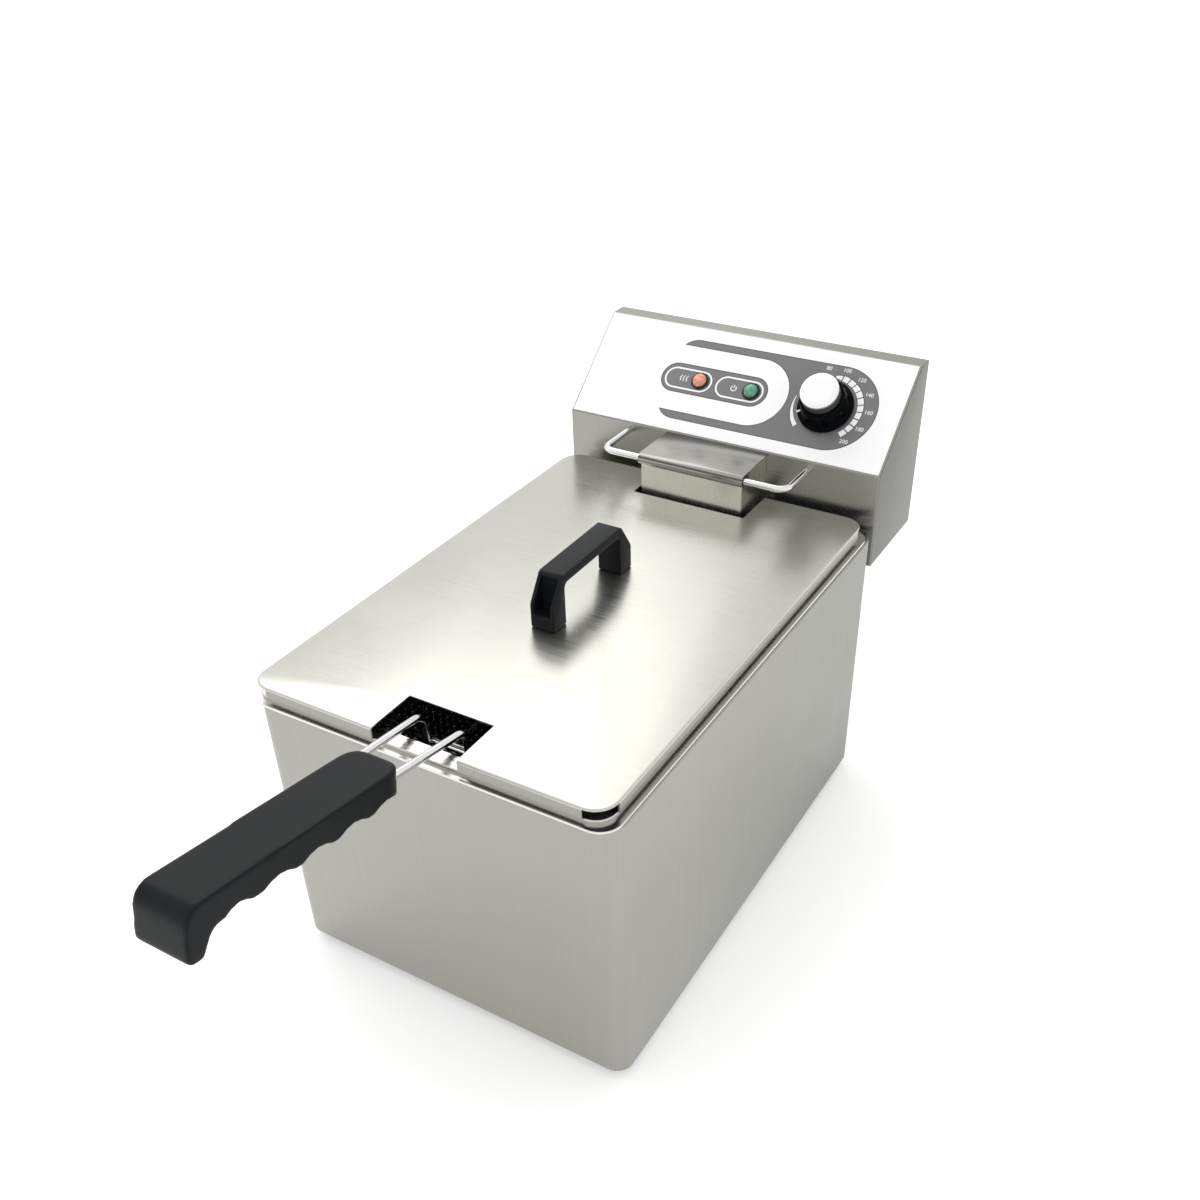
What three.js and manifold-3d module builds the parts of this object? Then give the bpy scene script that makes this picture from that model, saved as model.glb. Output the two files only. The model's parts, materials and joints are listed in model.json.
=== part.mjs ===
// Countertop electric deep fryer: one oil tank in a sheet-steel case, a lift-off control head
// that hangs on the case's back and carries the elements, a flat lid and one basket.
// Millimetres, +Z up. In the drawing's own frame y = 0 is the case's front face, +Y runs to the
// rear, x = 0 is the centre plane and z = 0 is the surface that the fryer stands on.
import * as THREE from 'three';
import { mergeVertices } from 'three/addons/utils/BufferGeometryUtils.js';
import Module from 'manifold-3d';

const wasm = await Module();
wasm.setup();

// ---------------------------------------------------------------- driving dimensions, mm

const fit = 0.3;                 // gap between pieces that rest on or pass through each other
const sheet = 1;                 // steel sheet of the case, head, lid and covers

const caseWidth = 265;
const caseDepth = 378;
const caseHeight = 208;          // shell only, without the feet
const caseCorner = 8;
const caseTopFlange = 9;
const caseFrontFlange = 5;
const caseBottomFlange = 10;

const footHeight = 8;
const footRadius = 11;
const footInset = 32;
const footScrewRadius = 1.8;

const tankSheet = 0.8;
const tankDepth = 150;
const tankCorner = 25;
const tankSideLand = 14.8;       // flat of the rim from its edge to the opening
const tankFrontLand = 14.4;
const tankRearLand = 15;
const rimHeight = 3;
const rimCorner = 14;
const rimBead = 2;
const rimOverhang = 8;           // how far the rim stands out over the case's front
const rimSideInset = 0.2;
const rimRearInset = 6;

const lidHeight = 11;
const lidCorner = 15;
const lidSideInset = 3.9;        // from the rim's edge
const lidEndInset = 2.7;
const lidFrontNotchWidth = 62;
const lidFrontNotchDepth = 37;
const lidRearNotchWidth = 94;
const lidRearNotchDepth = 39;

const handleForward = 9;         // lid handle's middle ahead of the case's middle
const handleFoot = 99;
const handleTop = 74;
const handleWidth = 18;
const handleHeight = 36;
const handleBar = 6.5;
const handleGap = 70;
const handleKnee = 17;           // upright part of each end
const handleScrewSpacing = 84.6;
const handleScrewRadius = 2;

const headDrop = 28;             // head's lower edge below the case's top
const headRise = 46.1;           // fascia's lower edge above the case's top
const headGap = 0.4;             // between the case's rear and the head's front wall
const slopeLength = 92;
const slopeAngle = 40.55 * Math.PI / 180;
const headTopDepth = 14.5;
const headReturn = 10;

const fasciaSheet = 0.5;
const fasciaMargin = 0.9;

const knobFromSide = 58.9;
const knobSlope = 44.8;
const knobRadius = 21.5;
const knobHeight = 16;
const knobCapRadius = 14;
const knobCapHeight = 8;
const shaftRadius = 3;
const thermostatSize = 38;
const thermostatDepth = 28;

const lampSlope = 45.7;
const lampRadius = 7;
const lampStem = 5;
const lampXs = { heat: -33, power: 11.4 };

const elementBoxWidth = 85;
const elementLeg = 17;           // depth of the box's leg in the tank, front to rear
const elementFront = 43;         // from the case's rear to the box's front face
const elementDuctBottom = 6;     // the duct's underside above the case's top
const coverDrop = 0.6;            // the cover's top below the fascia's lower edge
const coverOverhang = 1.3;
const noseRadius = 4.6;
const elementRadius = 3.5;
const elementLift = 15;          // loop centres above the tank's floor
const loopInnerX = 12;
const loopReturnX = 32;
const loopFromWall = 22.5;       // outer run's centre to the tank's side wall

const railRadius = 2.5;
const railOutside = 15;          // rail's side runs outside the basket's hooks
const railBend = 8;
const railSetback = 42;          // cross bar's distance from the case's rear

const basketSideGap = 17.5;      // basket rim to tank opening, each side
const basketRearGap = 35;
const basketLift = 31;           // basket floor above the tank's floor
const basketDrop = 14;           // basket rim below the tank's rim
const basketWall = 2;
const basketRod = 4;
const basketCorner = 22;
const hookFromSide = 38;         // hooks in from the side of the rim rod
const hookReach = 17;
const hookTip = 14;

const forkX = 16;
const forkRadius = 2.5;
const forkFromOpening = 17.6;
const forkRise = 9 * Math.PI / 180;
const forkClear = 3.6;           // wire's centre below the lid's top, where it turns forward
const gripStart = 57;            // from the wires' bend, along the grip
const gripLength = 156;
const gripWidth = 36;
const gripTop = 6;               // above the wires' centre plane
const gripDepth = 19;
const gripHook = 23;             // hook's front face below the wires' centre plane
const fingers = 4;
const fingerPitch = 27;
const wireInGrip = 40;
const wirePinch = 3;             // how far each wire leans in by its end

// ---------------------------------------------------------------- derived planes

const halfWidth = caseWidth / 2;
const knobX = halfWidth - knobFromSide;
const handleCentre = caseDepth / 2 - handleForward;
const caseBottom = footHeight;
const caseTop = caseBottom + caseHeight;
const rimTop = caseTop + rimHeight;
const rimHalf = halfWidth - rimSideInset;
const rimFront = -rimOverhang;
const rimRear = caseDepth - rimRearInset;
const openHalf = rimHalf - tankSideLand;
const openFront = rimFront + tankFrontLand;
const openRear = rimRear - tankRearLand;
const tankFloor = rimTop - tankDepth;
const lidTop = rimTop + lidHeight;
const lidHalf = rimHalf - lidSideInset;
const lidFront = rimFront + lidEndInset;
const lidRear = rimRear - lidEndInset;
const headFront = caseDepth + headGap;
const headBottom = caseTop - headDrop;
const slopeZ = caseTop + headRise;
const headTop = slopeZ + slopeLength * Math.sin(slopeAngle);
const headRear = headFront + slopeLength * Math.cos(slopeAngle) + headTopDepth;
const boxHalf = elementBoxWidth / 2;
const boxFront = caseDepth - elementFront;
const coverTop = slopeZ - coverDrop;
const railY = caseDepth - railSetback;
const railZ = coverTop - noseRadius;
const forkY = openFront + forkFromOpening;
const forkZ = lidTop - forkClear;
const rodFront = forkY + forkRadius + fit;
const rodHalf = openHalf - basketSideGap;
const hookX = rodHalf - hookFromSide;
const railX = hookX + railOutside;
const rodRear = boxFront - basketRearGap;
const basketFloor = tankFloor + basketLift;
const basketTop = rimTop - basketDrop;
const elementZ = tankFloor + elementLift;
const loopOuterX = openHalf - loopFromWall;
const basePlateZ = caseBottom + sheet + fit;

// ---------------------------------------------------------------- materials

const finish = (color, roughness, metalness) => new THREE.MeshStandardMaterial({ color, roughness, metalness });
const steel = finish(0xb4b2aa, 0.35, 0.9);
const polished = finish(0xc8c8c4, 0.2, 0.95);
const chrome = finish(0xd8d8d8, 0.1, 1);
const white = finish(0xf2f2f2, 0.45, 0);
const black = finish(0x1c1e20, 0.5, 0);
const rubber = finish(0x202020, 0.9, 0);
const silver = finish(0xe6e6e6, 0.3, 0.5);
const amber = finish(0xdc8c6e, 0.25, 0);
const green = finish(0x3c8c6e, 0.25, 0);
const bakelite = finish(0x3a2f28, 0.6, 0);
const sheath = finish(0x8a8a86, 0.4, 0.8);
const copper = finish(0xb06a3c, 0.4, 0.9);

// ---------------------------------------------------------------- solids

const Y_UP_TO_Z = new THREE.Matrix4().makeRotationX(Math.PI / 2);
const CYCLE = new THREE.Matrix4().makeBasis(
  new THREE.Vector3(0, 1, 0), new THREE.Vector3(0, 0, 1), new THREE.Vector3(1, 0, 0));

// A closed geometry as a manifold solid.
function solid(geometry) {
  const bare = geometry.clone();
  bare.deleteAttribute('normal');
  bare.deleteAttribute('uv');
  const merged = mergeVertices(bare, 1e-4);
  return new wasm.Manifold(new wasm.Mesh({
    numProp: 3,
    vertProperties: new Float32Array(merged.attributes.position.array),
    triVerts: new Uint32Array(merged.index.array),
  }));
}

// A manifold solid as a flat-shaded geometry.
function geometryOf(body) {
  const mesh = body.getMesh();
  const geometry = new THREE.BufferGeometry();
  geometry.setAttribute('position', new THREE.BufferAttribute(mesh.vertProperties, 3));
  geometry.setIndex(new THREE.BufferAttribute(mesh.triVerts, 1));
  const flat = geometry.toNonIndexed();
  flat.computeVertexNormals();
  return flat;
}

function box(x0, x1, y0, y1, z0, z1) {
  const geometry = new THREE.BoxGeometry(x1 - x0, y1 - y0, z1 - z0);
  geometry.translate((x0 + x1) / 2, (y0 + y1) / 2, (z0 + z1) / 2);
  return solid(geometry);
}

// Outline of a rectangle with round corners.
function roundedRect(x0, x1, y0, y1, r) {
  const shape = new THREE.Shape();
  shape.moveTo(x0 + r, y0);
  shape.lineTo(x1 - r, y0);
  shape.absarc(x1 - r, y0 + r, r, -Math.PI / 2, 0);
  shape.lineTo(x1, y1 - r);
  shape.absarc(x1 - r, y1 - r, r, 0, Math.PI / 2);
  shape.lineTo(x0 + r, y1);
  shape.absarc(x0 + r, y1 - r, r, Math.PI / 2, Math.PI);
  shape.lineTo(x0, y0 + r);
  shape.absarc(x0 + r, y0 + r, r, Math.PI, 1.5 * Math.PI);
  return shape;
}

// Outline in the XY plane raised from z0 to z1.
function raised(shape, z0, z1, curveSegments = 4) {
  const geometry = new THREE.ExtrudeGeometry(shape, { depth: z1 - z0, bevelEnabled: false, curveSegments });
  geometry.translate(0, 0, z0);
  return solid(geometry);
}

// Outline in the YZ plane drawn out from x0 to x1.
function drawnAcross(shape, x0, x1, curveSegments = 8) {
  const geometry = new THREE.ExtrudeGeometry(shape, { depth: x1 - x0, bevelEnabled: false, curveSegments });
  geometry.translate(0, 0, x0);
  geometry.applyMatrix4(CYCLE);
  return solid(geometry);
}

function plate(x0, x1, y0, y1, z0, z1, r) {
  return raised(roundedRect(x0, x1, y0, y1, r), z0, z1);
}

function polygon(points) {
  return new THREE.Shape(points.map(([a, b]) => new THREE.Vector2(a, b)));
}

// A turned piece about a vertical axis at (x, y); the profile is [radius, z] pairs.
function turned(profile, x = 0, y = 0, segments = 24) {
  const points = profile.map(([r, z]) => new THREE.Vector2(r, z));
  const geometry = new THREE.LatheGeometry([...points, points[0].clone()], segments);
  geometry.applyMatrix4(Y_UP_TO_Z);
  geometry.translate(x, y, 0);
  return solid(geometry);
}

// A round bar between two points.
function bar(from, to, radius, segments = 16) {
  const a = new THREE.Vector3(...from);
  const b = new THREE.Vector3(...to);
  const along = b.clone().sub(a);
  const geometry = new THREE.CylinderGeometry(radius, radius, along.length(), segments);
  const turn = new THREE.Quaternion().setFromUnitVectors(
    new THREE.Vector3(0, 1, 0), along.clone().normalize());
  geometry.applyQuaternion(turn);
  const middle = a.add(b).multiplyScalar(0.5);
  geometry.translate(middle.x, middle.y, middle.z);
  return solid(geometry);
}

// Straight runs through the points, with each inner corner rounded to the bend radius.
function bentPath(points, bend) {
  const corners = points.map((p) => new THREE.Vector3(...p));
  const path = new THREE.CurvePath();
  let start = corners[0];
  for (let i = 1; i < corners.length - 1; i += 1) {
    const into = corners[i].clone().sub(corners[i - 1]).normalize();
    const out = corners[i + 1].clone().sub(corners[i]).normalize();
    const before = corners[i].clone().addScaledVector(into, -bend);
    const after = corners[i].clone().addScaledVector(out, bend);
    path.add(new THREE.LineCurve3(start, before));
    path.add(new THREE.QuadraticBezierCurve3(before, corners[i], after));
    start = after;
  }
  path.add(new THREE.LineCurve3(start, corners[corners.length - 1]));
  return path;
}

// A bent round wire, its section a polygon of the given sides.
function wire(points, radius, bend, step = 5, sides = 8) {
  const corners = Array.from({ length: sides }, (_, i) => {
    const a = (2 * Math.PI * i) / sides;
    return [radius * Math.cos(a), radius * Math.sin(a)];
  });
  const path = bentPath(points, bend);
  return solid(new THREE.ExtrudeGeometry(polygon(corners), {
    steps: Math.ceil(path.getLength() / step),
    extrudePath: path,
  }));
}

// ---------------------------------------------------------------- groups

const fryer = new THREE.Group();
const tilted = new THREE.Group();    // x across, y up the fascia's slope, z out of its face
tilted.position.set(0, headFront, slopeZ);
tilted.rotation.x = slopeAngle;
const gripFrame = new THREE.Group(); // origin where the fork wires turn, -y along the grip
gripFrame.position.set(0, forkY, forkZ);
gripFrame.rotation.x = -forkRise;
fryer.add(tilted, gripFrame);

function part(name, body, material, parent = fryer) {
  const mesh = new THREE.Mesh(geometryOf(body), material);
  mesh.name = name;
  parent.add(mesh);
}

// ---------------------------------------------------------------- case, base and feet

const hangerX = halfWidth - 62.5;
const hangerHalf = 12;
const hangerWebZ = headBottom + 10;
const hangerWebThick = 2;
const hangerTongue = 14;
const hangerThick = 1.5;

const baseSlots = 7;
const baseSlotPitch = 16;
const baseSlotWidth = 5;
const baseSlotHalf = 30;

function shellRing(inset, z0, z1) {
  const r = Math.max(caseCorner - inset, 1);
  return plate(-halfWidth + inset, halfWidth - inset, inset, caseDepth - inset, z0, z1, r);
}

function outerCase() {
  const hollow = shellRing(sheet, caseBottom + sheet, caseTop - sheet);
  const inner = halfWidth - caseTopFlange;
  const mouth = plate(-inner, inner, caseFrontFlange, caseDepth - caseTopFlange,
    caseTop - 2 * sheet, caseTop + sheet, rimCorner);
  const under = shellRing(caseBottomFlange, caseBottom - sheet, caseBottom + 2 * sheet);
  let shell = shellRing(0, caseBottom, caseTop).subtract(hollow).subtract(mouth).subtract(under);
  for (const side of [-1, 1]) {
    const x = side * hangerX;
    shell = shell.subtract(box(x - hangerHalf - fit, x + hangerHalf + fit, caseDepth - 2 * sheet,
      caseDepth + sheet, hangerWebZ - fit, hangerWebZ + hangerWebThick + fit));
  }
  return shell;
}

function footPlaces() {
  const x = halfWidth - footInset;
  return {
    front_left: [-x, footInset],
    front_right: [x, footInset],
    rear_left: [-x, caseDepth - footInset],
    rear_right: [x, caseDepth - footInset],
  };
}

function basePlate() {
  const inset = sheet + 2 * fit;
  let body = shellRing(inset, basePlateZ, basePlateZ + sheet);
  for (const [x, y] of Object.values(footPlaces())) {
    body = body.subtract(bar([x, y, caseBottom], [x, y, caseBottom + 4 * sheet], footScrewRadius + fit));
  }
  for (let i = 0; i < baseSlots; i += 1) {
    const y = caseDepth / 2 + (i - (baseSlots - 1) / 2) * baseSlotPitch;
    body = body.subtract(box(-baseSlotHalf, baseSlotHalf, y - baseSlotWidth / 2, y + baseSlotWidth / 2,
      caseBottom, caseBottom + 4 * sheet));
  }
  return body;
}

function foot(x, y) {
  const top = basePlateZ - fit;
  const bore = footScrewRadius + fit;
  return turned([
    [bore, 3], [bore + 2.6, 3], [bore + 2.6, 0], [footRadius - 2, 0],
    [footRadius, top - 3], [footRadius, top], [bore, top],
  ], x, y);
}

function footScrew(x, y) {
  const tip = basePlateZ + 8;
  return turned([
    [0, 0.8], [3.6, 0.8], [3.9, 1.4], [3.9, 2.7], [footScrewRadius, 2.7], [footScrewRadius, tip - 2], [0, tip],
  ], x, y, 16);
}

function hanger(x) {
  const inside = caseDepth - sheet - fit;
  const tongueY = headFront + sheet + 2 * fit;
  const web = box(x - hangerHalf, x + hangerHalf, inside - hangerThick, tongueY + hangerThick,
    hangerWebZ, hangerWebZ + hangerWebThick);
  const pad = box(x - hangerHalf, x + hangerHalf, inside - hangerThick, inside,
    hangerWebZ - 8, hangerWebZ + 14);
  const tongue = box(x - hangerHalf, x + hangerHalf, tongueY, tongueY + hangerThick,
    hangerWebZ, hangerWebZ + hangerTongue);
  return web.add(pad).add(tongue);
}

part('outer_case', outerCase(), steel);
part('base_plate', basePlate(), steel);
for (const [place, [x, y]] of Object.entries(footPlaces())) {
  part(`foot_${place}`, foot(x, y), rubber);
  part(`foot_screw_${place}`, footScrew(x, y), steel);
}
part('hanger_left', hanger(-hangerX), steel);
part('hanger_right', hanger(hangerX), steel);

// ---------------------------------------------------------------- oil tank

function oilTank() {
  const rim = plate(-rimHalf, rimHalf, rimFront, rimRear, rimTop - tankSheet, rimTop, rimCorner);
  const edge = plate(-rimHalf, rimHalf, rimFront, rimRear, caseTop + fit, rimTop, rimCorner);
  const within = plate(-rimHalf + rimBead, rimHalf - rimBead, rimFront + rimBead, rimRear - rimBead,
    caseTop, rimTop + sheet, rimCorner - rimBead);
  const t = tankSheet;
  const wall = plate(-openHalf - t, openHalf + t, openFront - t, openRear + t,
    tankFloor - t, rimTop, tankCorner + t);
  const well = plate(-openHalf, openHalf, openFront, openRear, tankFloor, rimTop + sheet, tankCorner);
  return rim.add(edge.subtract(within)).add(wall).subtract(well);
}

part('oil_tank', oilTank(), polished);

// ---------------------------------------------------------------- lid and its handle

const handleScrewYs = [handleCentre - handleScrewSpacing / 2, handleCentre + handleScrewSpacing / 2];
const pocketFloor = lidTop + fit + 6;

function lidPan() {
  const notch = lidFrontNotchWidth / 2;
  const rearNotch = lidRearNotchWidth / 2;
  const skirtLow = rimTop + fit;
  const skirtHigh = lidTop - sheet / 2;
  let body = plate(-lidHalf, lidHalf, lidFront, lidRear, lidTop - sheet, lidTop, lidCorner);
  for (const side of [-1, 1]) {
    const inner = side * (lidHalf - sheet);
    const outer = side * lidHalf;
    body = body.add(box(Math.min(inner, outer), Math.max(inner, outer), lidFront + lidCorner,
      lidRear - lidCorner, skirtLow, skirtHigh));
  }
  const reach = lidHalf - lidCorner;
  body = body.add(box(-reach, reach, lidFront, lidFront + sheet, skirtLow, skirtHigh));
  body = body.add(box(-reach, reach, lidRear - sheet, lidRear, skirtLow, skirtHigh));
  body = body.subtract(box(-notch, notch, lidFront - sheet, lidFront + lidFrontNotchDepth,
    skirtLow - sheet, lidTop + sheet));
  body = body.subtract(box(-rearNotch, rearNotch, lidRear - lidRearNotchDepth, lidRear + sheet,
    skirtLow - sheet, lidTop + sheet));
  for (const y of handleScrewYs) {
    body = body.subtract(bar([0, y, lidTop - 2 * sheet], [0, y, lidTop + sheet], handleScrewRadius + fit));
  }
  return body;
}

function lidHandle() {
  const low = lidTop + fit;
  const high = low + handleHeight;
  const foot = handleFoot / 2;
  const top = handleTop / 2;
  const gap = handleGap / 2;
  const c = handleCentre;
  const side = polygon([
    [c - foot, low], [c - gap, low], [c - gap, high - handleBar], [c + gap, high - handleBar],
    [c + gap, low], [c + foot, low], [c + foot, low + handleKnee], [c + top, high], [c - top, high],
    [c - foot, low + handleKnee],
  ]);
  const width = handleWidth / 2;
  let body = drawnAcross(side, -width, width);
  for (const [i, y] of handleScrewYs.entries()) {
    const outward = i === 0 ? -1 : 1;
    const wall = y - outward * 5.5;
    const open = y + outward * 14;
    body = body.subtract(box(-5.5, 5.5, Math.min(wall, open), Math.max(wall, open), pocketFloor, high - 4));
    body = body.subtract(bar([0, y, low - sheet], [0, y, pocketFloor + sheet], handleScrewRadius + fit));
  }
  return body;
}

function handleScrew(y) {
  const head = pocketFloor + fit;
  const tip = lidTop - sheet - 5;
  return turned([
    [0, tip], [handleScrewRadius, tip], [handleScrewRadius, head], [4.2, head], [4.2, head + 1.2],
    [2.6, head + 2.6], [0, head + 2.6],
  ], 0, y, 16);
}

function handleNut(y) {
  const top = lidTop - sheet - fit;
  const bore = handleScrewRadius + fit;
  return turned([[bore, top - 3], [4, top - 3], [4, top], [bore, top]], 0, y, 12);
}

part('lid_pan', lidPan(), steel);
part('lid_handle', lidHandle(), black);
for (const [i, y] of handleScrewYs.entries()) {
  const end = ['front', 'rear'][i];
  part(`lid_screw_${end}`, handleScrew(y), steel);
  part(`lid_nut_${end}`, handleNut(y), steel);
}

// ---------------------------------------------------------------- control head

const glandX = 37.5 - halfWidth;
const glandY = headFront + 50;
const glandRadius = 9;
const resetX = -knobX;
const resetZ = headBottom + 75;
const resetRadius = 4;
const coverScrewRadius = 1.6;
const vents = 9;
const ventPitch = 7;
const ventHeight = 3;
const ventHalf = 26;
const ventRise = 45;             // lowest vent above the head's lower edge

// Side outline of the head's shell, drawn inwards by the inset.
function headOutline(inset, rear, low) {
  const crownY = headFront + slopeLength * Math.cos(slopeAngle) + inset * Math.tan(slopeAngle / 2);
  const foldZ = slopeZ + inset * Math.tan(slopeAngle) - inset / Math.cos(slopeAngle);
  return polygon([
    [headFront + inset, low], [rear, low], [rear, headTop - inset], [crownY, headTop - inset],
    [headFront + inset, foldZ],
  ]);
}

function coverScrewPlaces() {
  const x = halfWidth - sheet - headReturn / 2;
  return [[-x, headBottom + 20], [x, headBottom + 20], [-x, headTop - 20], [x, headTop - 20]];
}

function headHousing() {
  const half = halfWidth;
  let body = drawnAcross(headOutline(0, headRear, headBottom), -half, half);
  body = body.subtract(drawnAcross(headOutline(sheet, headRear + sheet, headBottom - sheet),
    -half + sheet, half - sheet));
  const flangeRear = headRear - sheet - fit;
  for (const side of [-1, 1]) {
    const outer = side * (half - sheet / 2);
    const inner = side * (half - sheet - headReturn);
    body = body.add(box(Math.min(outer, inner), Math.max(outer, inner), flangeRear - sheet, flangeRear,
      headBottom + 3 * sheet, headTop - 3 * sheet));
    const x = side * hangerX;
    body = body.subtract(box(x - hangerHalf - 1, x + hangerHalf + 1, headFront - sheet,
      headFront + 2 * sheet, headBottom - sheet, hangerWebZ + hangerWebThick + fit));
    body = body.subtract(bar([side * railX, headFront - sheet, railZ],
      [side * railX, headFront + 3 * sheet, railZ], railRadius + fit));
  }
  const wiring = boxHalf - 6;
  body = body.subtract(box(-wiring, wiring, headFront - sheet, headFront + 2 * sheet,
    caseTop + elementDuctBottom + 4, coverTop - 5));
  for (const [x, z] of coverScrewPlaces()) {
    body = body.subtract(bar([x, headRear - 4 * sheet, z], [x, headRear, z], coverScrewRadius + fit));
  }
  return body.subtract(fasciaHoles());
}

// Holes through the fascia and the sheet under it, as one cutter in the drawing's frame.
function fasciaHoles() {
  const matrix = new THREE.Matrix4().compose(tilted.position,
    new THREE.Quaternion().setFromEuler(tilted.rotation), new THREE.Vector3(1, 1, 1));
  return fasciaPins().transform(matrix.elements);
}

// The same cutter in the fascia's own frame.
function fasciaPins() {
  const reach = 4;
  let pins = bar([knobX, knobSlope, -reach], [knobX, knobSlope, reach], shaftRadius + 4.2);
  for (const x of Object.values(lampXs)) {
    pins = pins.add(bar([x, lampSlope, -reach], [x, lampSlope, reach], lampStem + fit));
  }
  return pins;
}

function fasciaPanel() {
  const half = halfWidth - fasciaMargin;
  const low = fasciaMargin;
  const high = slopeLength - fasciaMargin;
  return plate(-half, half, low, high, fit, fit + fasciaSheet, 1.5).subtract(fasciaPins());
}

function rearCover() {
  const half = halfWidth - sheet - fit;
  const low = headBottom;
  let body = box(-half, half, headRear - sheet, headRear, low, headTop - sheet - fit);
  body = body.add(box(-half, half, headFront + sheet + 5, headRear - sheet / 2, low, low + sheet));
  for (let i = 0; i < vents; i += 1) {
    const z = headBottom + ventRise + i * ventPitch;
    body = body.subtract(box(-ventHalf, ventHalf, headRear - 2 * sheet, headRear + sheet,
      z, z + ventHeight));
  }
  body = body.subtract(bar([resetX, headRear - 2 * sheet, resetZ], [resetX, headRear + sheet, resetZ],
    resetRadius + 2 * fit));
  body = body.subtract(bar([glandX, glandY, low - sheet], [glandX, glandY, low + 2 * sheet],
    glandRadius + fit, 24));
  for (const [x, z] of coverScrewPlaces()) {
    body = body.subtract(bar([x, headRear - 2 * sheet, z], [x, headRear + sheet, z], coverScrewRadius + fit));
  }
  return body;
}

// Pan-head screw pointing forward through the rear cover.
function coverScrew(x, z) {
  const y = headRear + fit;
  const head = bar([x, y, z], [x, y + 2, z], 3.2);
  return head.add(bar([x, y + sheet, z], [x, y - 8, z], coverScrewRadius, 12));
}

// Split cable gland with a through bore, held in the head's floor.
function cordGland() {
  const z = headBottom;
  return turned([
    [4, z - 10], [6.5, z - 10], [glandRadius + 2.5, z - 4], [glandRadius + 2.5, z - fit],
    [glandRadius, z - fit], [glandRadius, z + sheet + fit], [glandRadius + 2.5, z + sheet + fit],
    [glandRadius + 2.5, z + sheet + 4], [4, z + sheet + 4],
  ], glandX, glandY);
}

part('head_housing', headHousing(), steel);
part('rear_cover', rearCover(), steel);
for (const [i, [x, z]] of coverScrewPlaces().entries()) {
  part(`cover_screw_${i + 1}`, coverScrew(x, z), steel);
}
part('cord_gland', cordGland(), black);
part('fascia_panel', fasciaPanel(), white, tilted);

// ---------------------------------------------------------------- thermostat, knob and lamps

const faceTop = fit + fasciaSheet;      // fascia's face in the tilted frame
const under = -sheet - fit;             // just below the head's sheet
const knobBase = faceTop + 2 * fit;

function thermostatBody() {
  const h = thermostatSize / 2;
  const can = box(knobX - h, knobX + h, knobSlope - h, knobSlope + h, under - thermostatDepth, under);
  const bush = bar([knobX, knobSlope, under - sheet], [knobX, knobSlope, faceTop], shaftRadius + 3.5);
  const bore = bar([knobX, knobSlope, under - 14], [knobX, knobSlope, faceTop + sheet], shaftRadius + fit);
  return can.add(bush).subtract(bore);
}

function thermostatShaft() {
  return bar([knobX, knobSlope, under - 13], [knobX, knobSlope, knobBase + 10], shaftRadius);
}

function knobBody() {
  const r = knobRadius;
  const top = knobBase + knobHeight;
  let body = turned([
    [0, knobBase], [r, knobBase], [r, knobBase + 3], [r - 2.5, knobBase + 4.5],
    [r - 3.5, top - 2], [r - 5, top], [0, top],
  ], knobX, knobSlope, 40);
  body = body.subtract(bar([knobX, knobSlope, knobBase - sheet], [knobX, knobSlope, knobBase + 10 + fit],
    shaftRadius + fit));
  const flutes = 10;
  for (let i = 0; i < flutes; i += 1) {
    const a = (i + 0.5) * 2 * Math.PI / flutes;
    const x = knobX + (r + 1) * Math.cos(a);
    const y = knobSlope + (r + 1) * Math.sin(a);
    body = body.subtract(bar([x, y, knobBase + 3.5], [x, y, top + sheet], 4, 12));
  }
  return body;
}

function knobCap() {
  const low = knobBase + knobHeight + fit;
  const high = low + knobCapHeight;
  return turned([
    [0, low], [knobCapRadius + 1, low], [knobCapRadius, high - 1.5], [knobCapRadius - 1.5, high], [0, high],
  ], knobX, knobSlope, 32);
}

function lampLens(x) {
  const low = faceTop + fit;
  return turned([
    [0, under - 3], [lampStem - fit, under - 3], [lampStem - fit, low], [lampRadius, low],
    [lampRadius, low + 1.4], [lampRadius - 1.2, low + 2.2], [lampRadius - 3.4, low + 3.6], [0, low + 4],
  ], x, lampSlope);
}

function lampBody(x) {
  const top = under - 3 - fit;
  return turned([[0, top - 20], [3.4, top - 20], [lampStem, top - 14], [lampStem, top], [0, top]],
    x, lampSlope, 16);
}

part('thermostat_body', thermostatBody(), bakelite, tilted);
part('thermostat_shaft', thermostatShaft(), steel, tilted);
part('knob_body', knobBody(), black, tilted);
part('knob_cap', knobCap(), silver, tilted);
for (const [name, x] of Object.entries(lampXs)) {
  part(`${name}_lamp_lens`, lampLens(x), name === 'heat' ? amber : green, tilted);
  part(`${name}_lamp_body`, lampBody(x), bakelite, tilted);
}

// ---------------------------------------------------------------- element box, cover and elements

const legBottom = basketFloor - 2;
const legRear = boxFront + elementLeg;
const ductBottom = caseTop + elementDuctBottom;
const boxTop = coverTop - sheet - fit;
const boxRear = headFront - fit;
const bulbZ = elementZ + elementRadius + 4.5;
const elementY = boxFront + elementLeg / 2;
const thermostatBulbX = 0;
const limitBulbX = -(loopInnerX + loopReturnX) / 2;

function legOutline(inset) {
  return polygon([
    [boxFront + inset, legBottom + inset], [legRear - inset, legBottom + inset],
    [legRear - inset, ductBottom + inset], [boxRear + inset * 2, ductBottom + inset],
    [boxRear + inset * 2, boxTop + inset * 2], [boxFront + inset, boxTop + inset * 2],
  ]);
}

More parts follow.
